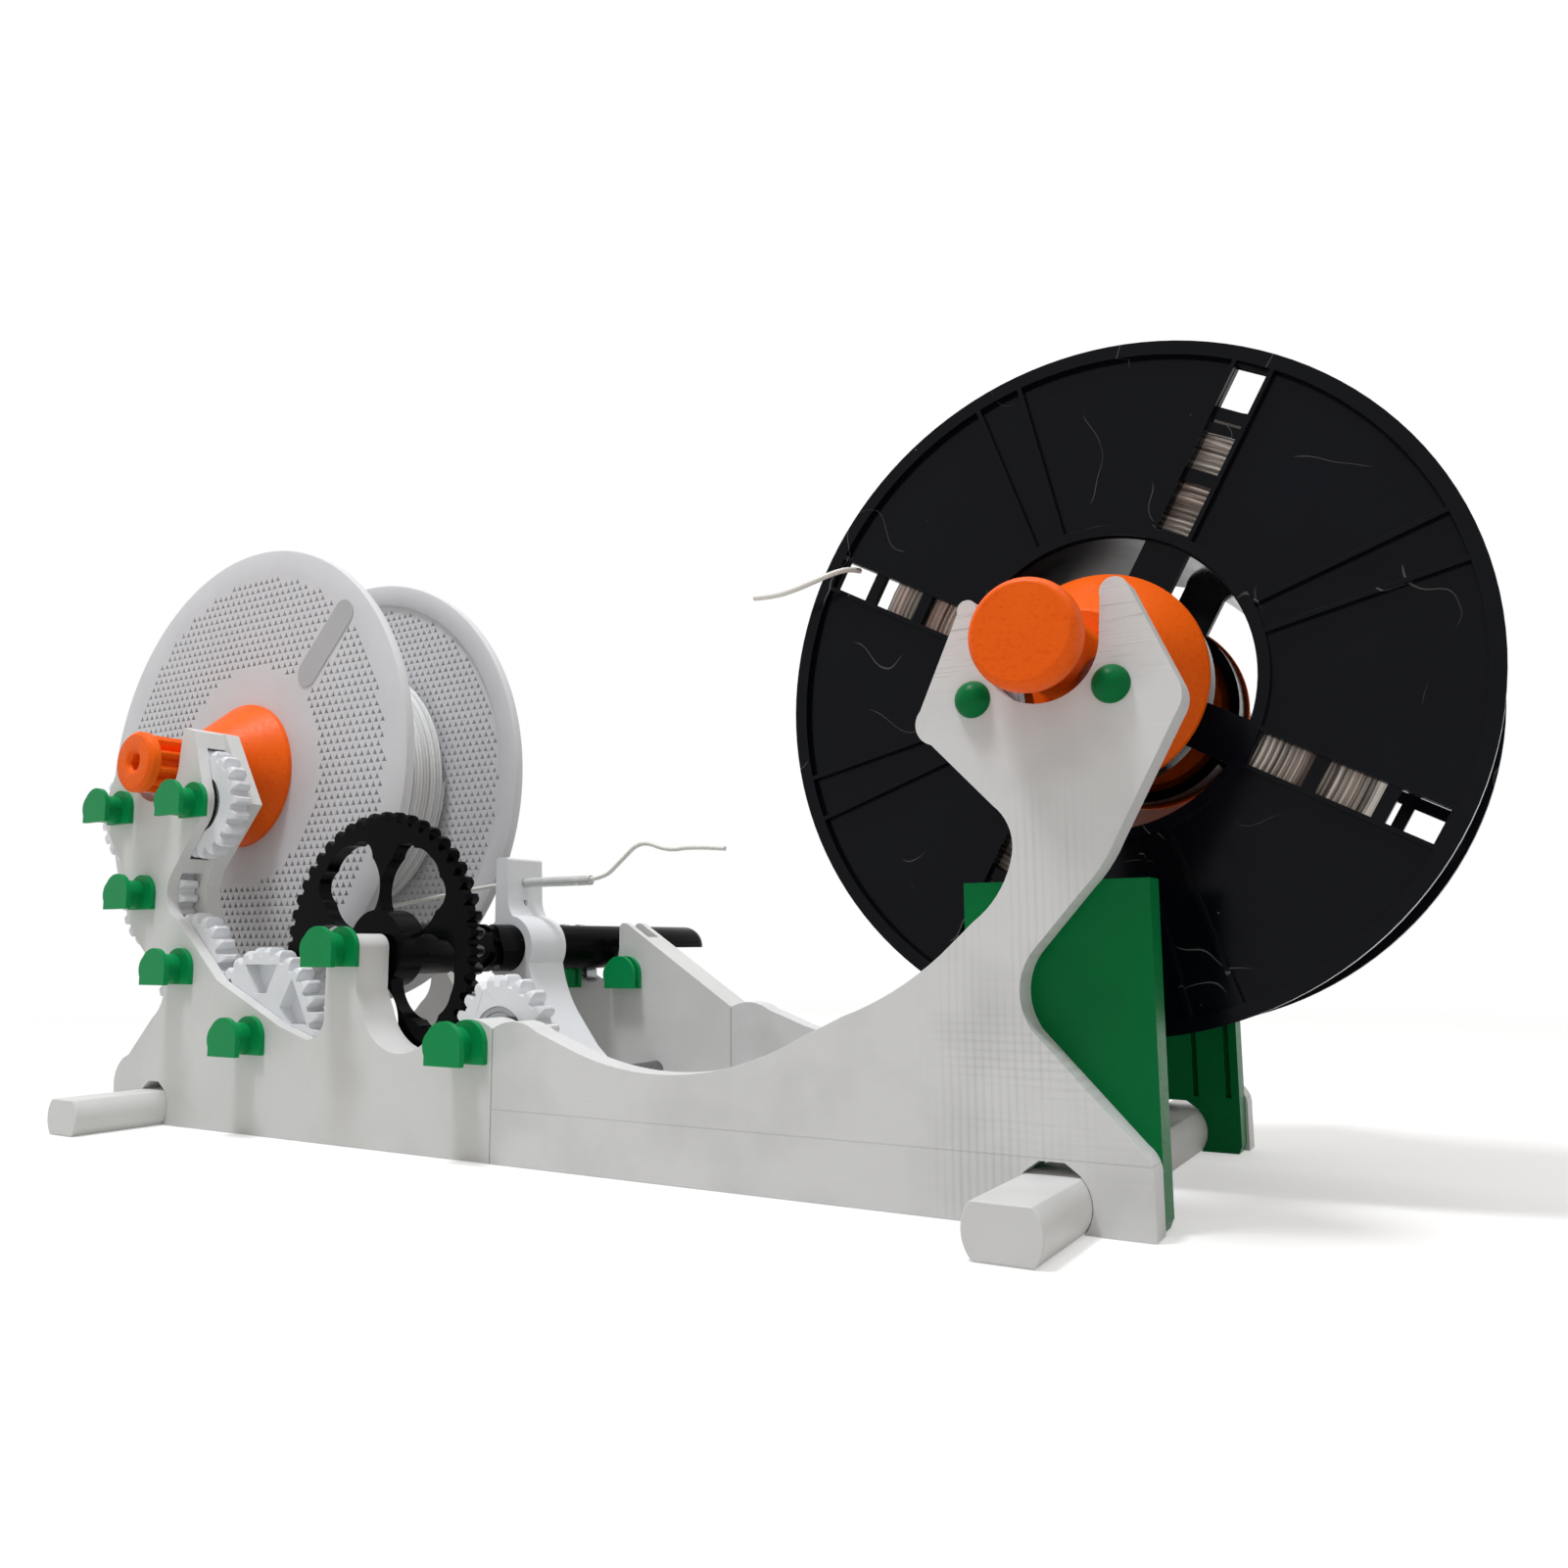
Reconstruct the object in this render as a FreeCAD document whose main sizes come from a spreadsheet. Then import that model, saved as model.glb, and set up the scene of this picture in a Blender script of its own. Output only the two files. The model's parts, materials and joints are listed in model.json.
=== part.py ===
"""Filament spool winder: two notched frames carry a take-up spool and a supply spool on ball-bearing
rollers. A train of printed gears runs from the take-up axle to a grooved shaft, which lays the filament
evenly on the take-up spool through a sliding guide arm.

Millimetres. X runs along the frames, Y from the front frame to the rear frame, Z up. The sizes are counted
from the front face of the front frame, on the floor, midway between the two spool axles. Each piece is then
placed back by origin_back, so that the origin lies on the floor under the middle of the whole winder.
"""
import FreeCAD, Part
import math
import os

import Sketcher
from FreeCAD import Placement, Rotation, Vector

DRIVING_SIZES = [
    # axles and the cradles under them
    ("axle_height", 140.4, "floor to either spool axle"),
    ("axle_offset", 184.5, "middle of the winder to either axle"),
    ("cradle_angle", 35.0, "degrees below level from an axle to what carries it"),
    ("axle_radius", 10.45, "both spool axles"),
    ("notch_radius", 15.2, "open notch in each head"),
    # frames
    ("take_up_cone_gap", 9.0, "rear cone of the take-up spool to the rear frame"),
    ("supply_cone_gap", 9.5, "rear cone of the supply spool to the rear frame"),
    ("left_thickness", 13.75, "left half of the front frame"),
    ("gear_head_thickness", 18.4, "head of the front frame that holds the gears"),
    ("front_wall", 4.5, "wall in front of the gears"),
    ("right_thickness", 8.25, "right halves of both frames"),
    ("rear_left_thickness", 14.0, "left half of the rear frame"),
    ("roller_wall", 3.3, "each wall beside a roller in the rear frame"),
    ("seam_place", 4.0, "seam between the halves, right of the middle"),
    ("tongue_length", 20.0, "tongue of the right half inside the left half"),
    ("tongue_lug", 14.0, "lug of the tongue behind the right half"),
    ("tongue_height", 30.0, "top of the tongue"),
    ("tongue_foot", 3.0, "underside of the tongue"),
    ("tower_rise", 5.3, "tower in front of the shaft, above its axis"),
    ("rear_tower_rise", 10.3, "horns beside the shaft, above its axis"),
    ("front_foot_edge", 207.1, "right foot of the front frame, from the middle"),
    ("rear_foot_edge", 203.8, "right foot of the rear frame, from the middle"),
    # cross rods and brace plates
    ("rod_radius", 9.35, "round of the cross rods"),
    ("rod_height", 12.5, "over the two flats of a cross rod"),
    ("rod_overhang", 34.0, "cross rod in front of the front frame"),
    ("rod_tail", 6.0, "cross rod behind the rear frame"),
    ("rod_left", 173.1, "left cross rod, from the middle"),
    ("rod_right", 183.4, "right cross rod, from the middle"),
    ("rod_clearance", 0.15, "round the cross rods"),
    ("roof_height", 3.2, "roof of the rod holes over the flat"),
    ("brace_left", 159.8, "left edge of the brace plates"),
    ("brace_right", 207.1, "right edge of the front brace plate"),
    ("rear_brace_right", 203.0, "right edge of the rear brace plate"),
    ("brace_top", 82.0, "top of the brace plates"),
    ("brace_thickness", 8.75, "brace plates"),
    ("brace_cut", 2.4, "cut lower corner of the brace plates"),
    ("brace_groove_width", 1.6, "grooves in the rear brace plate"),
    ("brace_groove_depth", 2.0, "grooves in the rear brace plate"),
    ("brace_groove_bottom", 17.2, "lower end of those grooves"),
    ("brace_groove_edge", 2.5, "outer groove to the plate's right edge"),
    ("brace_groove_step", 10.0, "one groove to the other"),
    # gears
    ("gear_module", 2.0, "pitch diameter over teeth"),
    ("pressure_angle", 25.0, "degrees"),
    ("addendum", 1.6, "tooth above the pitch circle"),
    ("dedendum", 2.2, "tooth below the pitch circle"),
    ("tooth_round", 2.0, "teeth fall off towards both faces"),
    ("tooth_thinning", 0.3, "taken off each tooth for running clearance"),
    ("pinion_teeth", 10, "pinion on the take-up knob"),
    ("idler_teeth", 20, "the five small white gears"),
    ("wheel_teeth", 31, "large wheel of the compound gear"),
    ("second_pinion_teeth", 10, "small pinion of the compound gear"),
    ("shaft_gear_teeth", 48, "black gear of the level-wind shaft"),
    ("gear_width", 7.5, "small white gears"),
    ("wheel_width", 7.5, "large wheel of the compound gear"),
    ("rear_gear_front", 15.5, "front face of the rear row of gears"),
    ("shaft_gear_width", 5.6, "black gear of the level-wind shaft"),
    ("side_clearance", 0.2, "each side of a gear in its slot"),
    ("sweep_clearance", 0.8, "round the teeth in the slot"),
    ("transfer_angle", -61.9, "degrees, idler to transfer gear"),
    ("lower_angle", -46.6, "degrees, transfer gear to lower gear"),
    ("wheel_angle", -28.9, "degrees, lower gear to compound gear"),
    ("shaft_angle", 33.2, "degrees, compound gear to shaft gear"),
    ("end_angle", -26.3, "degrees, shaft gear to end gear"),
    # bearings and pins
    ("bearing_bore", 8.0, "608 ball bearing, bore diameter"),
    ("bearing_outside", 22.0, "608 ball bearing, outer diameter"),
    ("bearing_width", 7.0, "608 ball bearing, width"),
    ("race_radius", 9.2, "inside of the outer ring"),
    ("inner_ring_radius", 6.0, "outside of the inner ring"),
    ("shield_gap", 0.25, "shield to inner ring"),
    ("shield_thickness", 0.5, "bearing shield"),
    ("shield_recess", 0.3, "shield below the ring's face"),
    ("fit_clearance", 0.05, "radial, pins in bearings and bearings in pockets"),
    ("pin_hole_clearance", 0.15, "radial, pins in the frames"),
    ("bearing_recess", 0.4, "bearing behind a gear's front face"),
    ("pin_end", 1.2, "pins beyond what they hold"),
    ("clip_radius", 7.8, "round top of a clip's two end plates"),
    ("clip_plate", 1.9, "each end plate of a clip"),
    ("clip_neck_radius", 5.6, "neck between the end plates"),
    ("clip_depth", 11.8, "clip in front of the frame"),
    ("rear_clip_depth", 6.0, "clip inside the rear frame"),
    ("clip_bottom", 6.0, "flat underside below the pin's axis"),
    ("clip_shift", 3.0, "middle of the end plates, right of the pin"),
    ("dome_radius", 4.8, "domed pin heads"),
    ("dome_height", 3.9, "domed pin heads"),
    # knobs, cones and spools
    ("take_up_knob_radius", 12.25, "take-up knob"),
    ("take_up_knob_front", 10.0, "take-up knob in front of the frame"),
    ("knob_cap", 4.5, "plain cap of the take-up knob"),
    ("socket_flats", 6.4, "hexagon socket across flats"),
    ("socket_depth", 12.0, "hexagon socket"),
    ("supply_knob_radius", 14.0, "supply knob"),
    ("supply_knob_front", 13.5, "supply knob in front of the frame"),
    ("supply_knob_length", 8.5, "supply knob"),
    ("end_knob_radius", 14.0, "knobs at the rear ends"),
    ("end_knob_length", 9.0, "knobs at the rear ends"),
    ("end_knob_gap", 1.0, "rear frame to those knobs"),
    ("cone_radius", 31.0, "wide end of a clamping cone"),
    ("cone_nose_radius", 16.0, "narrow end of a clamping cone"),
    ("cone_length", 21.4, "clamping cone outside its spool"),
    ("short_cone_length", 16.0, "rear clamping cone of the supply spool"),
    ("cone_rim", 2.0, "straight rim of a clamping cone"),
    ("cone_plug_length", 8.0, "cone inside the bore"),
    ("cone_plug_taper", 2.5, "taper of the part inside the bore"),
    ("bore_radius", 27.0, "spool bore"),
    ("bore_clearance", 0.2, "cone in the bore"),
    ("spool_radius", 100.0, "both spools"),
    ("core_radius", 45.0, "winding core of both spools"),
    ("core_wall", 2.5, "winding core of both spools"),
    ("white_front", 40.0, "front face of the white spool"),
    ("white_width", 65.6, "white spool"),
    ("white_flange", 3.0, "flange of the white spool"),
    ("white_rim", 4.5, "rim of the white spool"),
    ("white_rim_width", 10.0, "rim of the white spool, inwards"),
    ("pill_inner", 50.0, "bare pill-shaped field, inner end"),
    ("pill_edge", 7.0, "bare pill-shaped field to the edge of the flange"),
    ("pill_width", 12.0, "bare pill-shaped field"),
    ("pill_angle", 47.0, "degrees"),
    ("pill_height", 0.4, "pill above the flange"),
    ("black_width", 58.0, "black spool"),
    ("black_flange", 2.5, "flange sheet of the black spool"),
    ("rib_height", 2.0, "ribs on the flange sheet"),
    ("rib_width", 1.3, "ribs on the flange sheet"),
    ("hub_ring_inner", 43.0, "ring round the hub opening"),
    ("hub_ring_outer", 46.0, "ring round the hub opening"),
    ("black_rim_width", 4.0, "rim of the black spool, inwards"),
    ("bore_ring_wall", 3.0, "ring round the bore of the black spool"),
    ("spoke_width", 13.0, "spokes across the hub opening"),
    ("channel_angle", 61.0, "degrees, first channel of windows"),
    ("channel_width", 12.1, "over the ribs of a channel"),
    ("window_width", 9.2, "windows of a channel"),
    ("window_gap", 3.6, "bar between two windows"),
    ("window_length", 14.7, "windows of a channel"),
    ("rib_pair_angle", 16.5, "degrees, first pair of tapering ribs"),
    ("rib_pair_outer", 14.0, "spacing of a pair at the rim"),
    ("rib_pair_inner", 8.5, "spacing of a pair at the hub"),
    # windings and filament
    ("filament", 1.75, "filament diameter"),
    ("white_wound_radius", 58.0, "outside of the white winding"),
    ("supply_wound_radius", 77.0, "outside of the supply winding"),
    ("wound_side_gap", 0.6, "winding to flange"),
    ("white_loops", 16, "turns of the white outer layer"),
    ("supply_loops", 16, "turns of the supply's outer layer"),
    ("layer_gap", 0.1, "outer layer to the core under it"),
    # level wind
    ("shaft_radius", 9.4, "level-wind shaft"),
    ("shaft_tail", 65.0, "half-round tail behind the rear frame"),
    ("shaft_hub_radius", 14.0, "hub of the shaft gear"),
    ("shaft_hub_depth", 11.0, "hub of the shaft gear"),
    ("shaft_hub_lip", 1.2, "lip in front of the hub's bearing"),
    ("shaft_lip_gap", 0.5, "radial, lip round the pin"),
    ("groove_width", 4.0, "crossed groove of the shaft"),
    ("groove_depth", 2.2, "crossed groove of the shaft"),
    ("groove_pitch", 21.6, "advance of the groove in one turn"),
    ("groove_turns", 2.5, "turns of the groove, one way"),
    ("groove_start", 45.75, "front end of the groove"),
    ("petal_count", 5, "windows of the shaft gear"),
    ("petal_angle", 122.0, "degrees, first window"),
    ("petal_inner", 12.0, "inner end of a window"),
    ("petal_outer", 41.6, "outer end of a window"),
    ("petal_half_width", 14.8, "half the width of a window"),
    ("guide_front", 83.0, "front face of the guide arm"),
    ("guide_depth", 20.5, "guide arm"),
    ("guide_rise", 37.0, "top of the guide arm above the shaft's axis"),
    ("guide_hole_rise", 26.8, "filament hole above the shaft's axis"),
    ("guide_ring_radius", 13.0, "ring of the guide arm round the shaft"),
    ("guide_left", 7.5, "left face of the arm, left of the shaft's axis"),
    ("guide_right", 1.2, "right face of the block, left of the shaft's axis"),
    ("rail_x", 34.0, "guide rail, left of the middle"),
    ("rail_height", 14.0, "guide rail"),
    ("rail_radius", 4.0, "guide rail"),
    ("rail_socket", 6.0, "rail inside each frame"),
    ("rail_foot_radius", 7.5, "foot of the arm on the rail"),
    ("running_clearance", 0.08, "radial, guide arm on shaft and rail"),
    ("follower_radius", 1.8, "follower pin"),
    ("follower_length", 10.0, "follower pin"),
    ("follower_gap", 0.3, "follower pin above the shaft"),
    ("tube_radius", 2.0, "clear tube in the guide"),
    ("tube_bore", 2.0, "clear tube in the guide, bore diameter"),
    ("tube_length", 42.0, "clear tube in the guide"),
    ("tube_mouth", 9.0, "straight filament in front of the clear tube"),
    ("tube_end", 6.0, "straight filament behind the clear tube"),
]

DOC = FreeCAD.newDocument("SpoolWinder")
SHEET = DOC.addObject("Spreadsheet::Sheet", "Sizes")
PARTS = []


class Size:
    """A number, together with the expression that reads it from the sheet."""

    def __init__(self, value, text=None):
        self.value = float(value)
        self.text = text or repr(float(value))

    def joined(self, sign, other, value):
        return Size(value, "(%s %s %s)" % (self.text, sign, other.text))

    def __add__(self, other):
        other = as_size(other)
        return self.joined("+", other, self.value + other.value)

    def __sub__(self, other):
        other = as_size(other)
        return self.joined("-", other, self.value - other.value)

    def __mul__(self, other):
        other = as_size(other)
        return self.joined("*", other, self.value * other.value)

    def __truediv__(self, other):
        other = as_size(other)
        return self.joined("/", other, self.value / other.value)

    def __neg__(self):
        return Size(-self.value, "(0 - %s)" % self.text)

    def __radd__(self, other):
        return as_size(other) + self

    def __rsub__(self, other):
        return as_size(other) - self

    def __rmul__(self, other):
        return as_size(other) * self

    def __float__(self):
        return self.value


def as_size(value):
    return value if isinstance(value, Size) else Size(value)


def cosd(angle):
    return Size(math.cos(math.radians(angle.value)), "cos(%s)" % angle.text)


def sind(angle):
    return Size(math.sin(math.radians(angle.value)), "sin(%s)" % angle.text)


def fill_sheet():
    """Writes each driving size with its alias and its remark into the sheet."""
    for row, (alias, value, remark) in enumerate(DRIVING_SIZES, start=1):
        SHEET.set("A%d" % row, remark)
        SHEET.set("B%d" % row, str(value))
        SHEET.setAlias("B%d" % row, alias)
    DOC.recompute()


class Values:
    """The sheet's sizes by name, each one as a Size that stays bound to its cell."""

    def __getattr__(self, alias):
        return Size(SHEET.get(alias), "Sizes." + alias)


fill_sheet()
S = Values()
WHITE_BACK = S.white_front + S.white_width
REAR_FRAME_FRONT = WHITE_BACK + S.cone_length + S.take_up_cone_gap
BLACK_BACK = REAR_FRAME_FRONT - S.supply_cone_gap - S.short_cone_length
BLACK_FRONT = BLACK_BACK - S.black_width
WHITE_RIM_RADIUS = S.spool_radius - S.white_rim_width
BLACK_RIM_RADIUS = S.spool_radius - S.black_rim_width


# Helpers that make bound objects


def bind(item, name, size):
    item.setExpression(name, as_size(size).text)


def origin_back():
    """Half the way between the front ends of the cross rods and the end of the shaft's tail."""
    return (REAR_FRAME_FRONT + S.rear_left_thickness + S.shaft_tail - S.rod_overhang) / 2


def place(item, x, y, z, rotation=None):
    """Puts an object at a bound place. A rotation stays as given."""
    item.Placement = Placement(Vector(), rotation or Rotation())
    for axis, size in zip("xyz", (x, as_size(y) - origin_back(), z)):
        bind(item, "Placement.Base." + axis, size)
    return item


ALONG_Y = Rotation(Vector(1, 0, 0), -90)
ALONG_X = Rotation(Vector(0, 1, 0), 90)


def cylinder(label, radius, length, x, y, z, rotation=ALONG_Y):
    item = DOC.addObject("Part::Cylinder", label)
    bind(item, "Radius", radius)
    bind(item, "Height", length)
    return place(item, x, y, z, rotation)


def box(label, low, high):
    """A box from its lowest corner to its highest corner."""
    item = DOC.addObject("Part::Box", label)
    for name, start, end in zip(("Length", "Width", "Height"), low, high):
        bind(item, name, as_size(end) - start)
    return place(item, *low)


def fuse(label, items):
    item = DOC.addObject("Part::MultiFuse", label)
    item.Shapes = items
    item.Refine = True
    return item


def cut(label, base, tools):
    item = DOC.addObject("Part::Cut", label)
    item.Base = base
    item.Tool = tools[0] if len(tools) == 1 else fuse(label + "_tools", tools)
    item.Refine = True
    return item


def common(label, first, second):
    item = DOC.addObject("Part::Common", label)
    item.Base = first
    item.Tool = second
    return item


def plate(label, face, y, thickness, x=0, z=0):
    """A flat face in the XZ plane, pulled along Y by a bound thickness."""
    flat = DOC.addObject("Part::Feature", label + "_outline")
    flat.Shape = face
    item = DOC.addObject("Part::Extrusion", label)
    item.Base = flat
    item.DirMode = "Custom"
    item.Dir = Vector(0, 1, 0)
    bind(item, "LengthFwd", thickness)
    item.Solid = True
    return place(item, x, y, z)


def lathe(label, x, z, profile):
    """A turned piece about the axis along Y through x, z. The profile is a closed row of radius and Y."""
    body = DOC.addObject("PartDesign::Body", label)
    plane = [f for f in body.Origin.OriginFeatures if f.Role == "XY_Plane"][0]
    sketch = body.newObject("Sketcher::SketchObject", label + "_profile")
    sketch.AttachmentSupport = (plane, [""])
    sketch.MapMode = "FlatFace"
    count = len(profile)
    spots = [Vector(float(radius), float(y), 0) for radius, y in profile]
    for index in range(count):
        sketch.addGeometry(Part.LineSegment(spots[index], spots[(index + 1) % count]))
    for index in range(count):
        sketch.addConstraint(Sketcher.Constraint("Coincident", index, 2, (index + 1) % count, 1))
    for index, (radius, y) in enumerate(profile):
        for kind, size in (("DistanceX", radius), ("DistanceY", y)):
            row = sketch.addConstraint(Sketcher.Constraint(kind, -1, 1, index, 1, float(size)))
            sketch.setExpression("Constraints[%d]" % row, as_size(size).text)
    turn = body.newObject("PartDesign::Revolution", label + "_turn")
    turn.Profile = sketch
    turn.ReferenceAxis = (sketch, ["V_Axis"])
    turn.Angle = 360
    body.Tip = turn
    return place(body, x, 0, z)


def solid(label, shape):
    """A piece that no sketch or primitive fits, with its shape worked out from the sheet's sizes."""
    item = DOC.addObject("Part::Feature", label)
    item.Shape = shape
    return item


def keep(item, node):
    """Marks a finished piece, whose label names its file."""
    item.Label = node
    PARTS.append(item)
    return item


# Flat outlines in the XZ plane


def spot(x, z):
    return Vector(float(x), 0, float(z))


def outline(start, steps):
    """A closed wire. A step is a corner (x, z), or an arc (middle x, middle z, end x, end z)."""
    edges = []
    here = spot(*start)
    for step in list(steps) + [tuple(start)]:
        end = spot(*step[-2:])
        if (end - here).Length < 1e-6:
            continue
        if len(step) == 4:
            edges.append(Part.Arc(here, spot(*step[:2]), end).toShape())
        else:
            edges.append(Part.LineSegment(here, end).toShape())
        here = end
    return Part.Wire(edges)


def ring_wire(x, z, radius):
    return Part.Wire([Part.Circle(spot(x, z), Vector(0, -1, 0), float(radius)).toShape()])


def first_face(shape):
    return shape.Faces[0] if len(shape.Faces) == 1 else shape


def turned(x, z, radius, across, angle):
    """The point at a radius along an angle, moved across it, about x, z."""
    angle = math.radians(float(angle))
    return (float(x) + float(radius) * math.cos(angle) - float(across) * math.sin(angle),
            float(z) + float(radius) * math.sin(angle) + float(across) * math.cos(angle))


def turned_box(x, z, inner, outer, half_inner, half_outer, angle):
    """A bar along a radius, as wide at each end as its two half widths say."""
    corners = ((inner, -float(half_inner)), (outer, -float(half_outer)),
               (outer, float(half_outer)), (inner, float(half_inner)))
    places = [turned(x, z, radius, across, angle) for radius, across in corners]
    return outline(places[0], places[1:])


# Gears


def pitch_radius(teeth):
    return S.gear_module * teeth / 2


def tip_radius(teeth):
    return pitch_radius(teeth) + S.addendum


def involute(angle):
    return math.tan(angle) - angle


def tooth_half_angle(teeth, radius):
    """Half the angle that a tooth takes at a radius, from the involute of the base circle."""
    pitch = float(pitch_radius(teeth))
    pressure = math.radians(float(S.pressure_angle))
    base = pitch * math.cos(pressure)
    thick = math.pi * float(S.gear_module) / 2 - float(S.tooth_thinning)
    half = thick / 2 / pitch + involute(pressure)
    return half - involute(math.acos(min(1.0, base / radius)))


def gear_wire(teeth, phase):
    """The outline of a gear about its own axis. A tooth points along the phase, in degrees."""
    count = int(float(teeth))
    pitch = float(pitch_radius(teeth))
    root = pitch - float(S.dedendum)
    tip = float(tip_radius(teeth))
    base = pitch * math.cos(math.radians(float(S.pressure_angle)))
    foot = max(root, base)
    middle = (foot + tip) / 2
    step = 2 * math.pi / count

    def at(radius, angle):
        return (radius * math.cos(angle), radius * math.sin(angle))

    edges = []
    start = None
    for index in range(count):
        centre = math.radians(phase) + index * step
        foot_half = tooth_half_angle(teeth, foot)
        middle_half = tooth_half_angle(teeth, middle)
        tip_half = tooth_half_angle(teeth, tip)
        rise = [at(root, centre - foot_half)]
        start = start or rise[0]
        if foot - root > 1e-3:
            edges.append((at(foot, centre - foot_half),))
        edges.append((at(middle, centre - middle_half), at(tip, centre - tip_half)))
        edges.append((at(tip, centre), at(tip, centre + tip_half)))
        edges.append((at(middle, centre + middle_half), at(foot, centre + foot_half)))
        if foot - root > 1e-3:
            edges.append((at(root, centre + foot_half),))
        edges.append((at(root, centre + step / 2), at(root, centre + step - foot_half)))
    steps = [sum(edge, ()) for edge in edges]
    return outline(start, steps[:-1] + [steps[-1]])


def mesh_phase(phase, teeth, next_teeth, angle):
    """The phase of the next gear, whose gap meets this gear's tooth along the line of centres."""
    turn = float(teeth) * (phase - float(angle)) / 360 + 0.5
    return float(angle) + 180 - 360 / float(next_teeth) * turn


class Gear:
    """Where a gear lies, its teeth and its phase."""

    def __init__(self, x, z, teeth, phase):
        self.x = x
        self.z = z
        self.teeth = teeth
        self.phase = phase

    def next(self, teeth, angle, own_teeth=None, own_phase=None):
        """The gear that this one drives, in the direction of an angle."""
        own = own_teeth or self.teeth
        phase = self.phase if own_phase is None else own_phase
        gap = pitch_radius(own) + pitch_radius(teeth)
        return Gear(self.x + gap * cosd(angle), self.z + gap * sind(angle), teeth,
                    mesh_phase(phase, own, teeth, angle))


TAKE_UP_X = -S.axle_offset
SUPPLY_X = S.axle_offset
PINION = Gear(TAKE_UP_X, S.axle_height, S.pinion_teeth, 90.0)
IDLER_LEFT = PINION.next(S.idler_teeth, S.cradle_angle - 180)
IDLER_RIGHT = PINION.next(S.idler_teeth, -S.cradle_angle)
TRANSFER = IDLER_LEFT.next(S.idler_teeth, S.transfer_angle)
LOWER = TRANSFER.next(S.idler_teeth, S.lower_angle)
COMPOUND = LOWER.next(S.wheel_teeth, S.wheel_angle)
SHAFT = COMPOUND.next(S.shaft_gear_teeth, S.shaft_angle, S.second_pinion_teeth, 0.0)
END = SHAFT.next(S.idler_teeth, S.end_angle)

REAR_LEFT_BACK = REAR_FRAME_FRONT + S.rear_left_thickness
GUIDE_TOP = SHAFT.z + S.guide_rise
GUIDE_HOLE = SHAFT.z + S.guide_hole_rise
SLOT_BACK = S.front_wall + 2 * S.side_clearance + S.gear_width
GEAR_FRONT = S.front_wall + S.side_clearance
ROLLER_REACH = S.axle_radius + S.bearing_outside / 2 + S.fit_clearance
SHAFT_ROLLER_REACH = S.shaft_radius + S.bearing_outside / 2 + S.fit_clearance
PIN_RADIUS = S.bearing_bore / 2 - S.fit_clearance
SHAFT_BEARING_FRONT = S.rear_gear_front + S.shaft_hub_lip + S.bearing_recess
POCKET_RADIUS = S.bearing_outside / 2 + S.fit_clearance


def cradle(x, z, reach):
    """The two roller places under an axle, left and right."""
    across = reach * cosd(S.cradle_angle)
    down = reach * sind(S.cradle_angle)
    return [(x - across, z - down), (x + across, z - down)]


SUPPLY_ROLLERS = cradle(SUPPLY_X, S.axle_height, ROLLER_REACH)
TAKE_UP_ROLLERS = cradle(TAKE_UP_X, S.axle_height, ROLLER_REACH)
SHAFT_ROLLERS = cradle(SHAFT.x, SHAFT.z, SHAFT_ROLLER_REACH)
FRONT_ROLLER_Y = S.right_thickness + S.side_clearance
REAR_ROLLER_Y = REAR_FRAME_FRONT - S.side_clearance - S.bearing_width
SLOT_ROLLER_Y = REAR_FRAME_FRONT + S.roller_wall + S.side_clearance


# Frames


def mirrored(steps, side):
    """An outline's steps with X turned round on the left side."""
    out = []
    for step in steps:
        out.append(tuple(side * value if index % 2 == 0 else value for index, value in enumerate(step)))
    return out


def head_steps(x, side):
    """The notched head from its inner neck over both horns to its outer neck, seen from the axle."""
    notch = float(S.notch_radius)
    inner = [(-8.5, -52.3), (-8.5, -47.3, -13.0, -39.8), (-29.4, -22.9), (-33.6, -18.0, -32.2, -13.8),
             (-21.2, 10.6), (-18.6, 13.9, -15.9, 11.2), (-notch, 0.0)]
    outer = [(0.0, -notch, notch, 0.0), (15.8, 9.4), (18.6, 13.9, 22.6, 11.6), (33.2, -12.8),
             (34.0, -16.4, 32.5, -20.8), (17.2, -49.4)]
    return [shifted(step, x) for step in mirrored(inner + outer, side)]


def shifted(step, x):
    """A step moved to an axle's place."""
    height = float(S.axle_height)
    return tuple(value + (float(x) if index % 2 == 0 else height) for index, value in enumerate(step))


def from_axle(x, steps):
    """Steps that keep their place to an axle."""
    return [shifted(step, x) for step in steps]


def right_outline(foot_edge):
    """Right half: seam, hump, valley, head, narrow neck and foot."""
    seam = float(S.seam_place)
    edge = float(foot_edge)
    valley = [(seam, 41.0), (12.0, 43.4, 22.5, 40.5), (33.1, 36.8), (76.0, 30.4, 116.4, 42.4),
              (128.3, 47.9)]
    neck = from_axle(SUPPLY_X, [(-41.4, -85.8, -28.1, -76.6), (-19.0, -68.4), (-12.1, -61.2, -8.5, -52.3)])
    leg = from_axle(SUPPLY_X, [(13.9, -55.2, 9.2, -60.8), (-3.4, -75.0), (-7.6, -85.4, -4.8, -94.6)])
    foot = [(edge - 2.9, 20.0), (edge - 0.5, 17.0, edge, 13.5), (edge, 0.0)]
    return outline((seam, 0.0), valley + neck + head_steps(SUPPLY_X, 1)[1:] + leg + foot)


def left_foot():
    """Outer edge of the left half from its neck down to the floor."""
    neck = from_axle(TAKE_UP_X, [(-15.2, -56.4, -7.0, -69.4), (0.5, -75.9), (14.3, -87.4, 8.2, -100.4)])
    return neck + [(-191.0, 25.0), (-198.6, 19.0, -199.4, 11.0), (-200.5, 0.0)]


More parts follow.
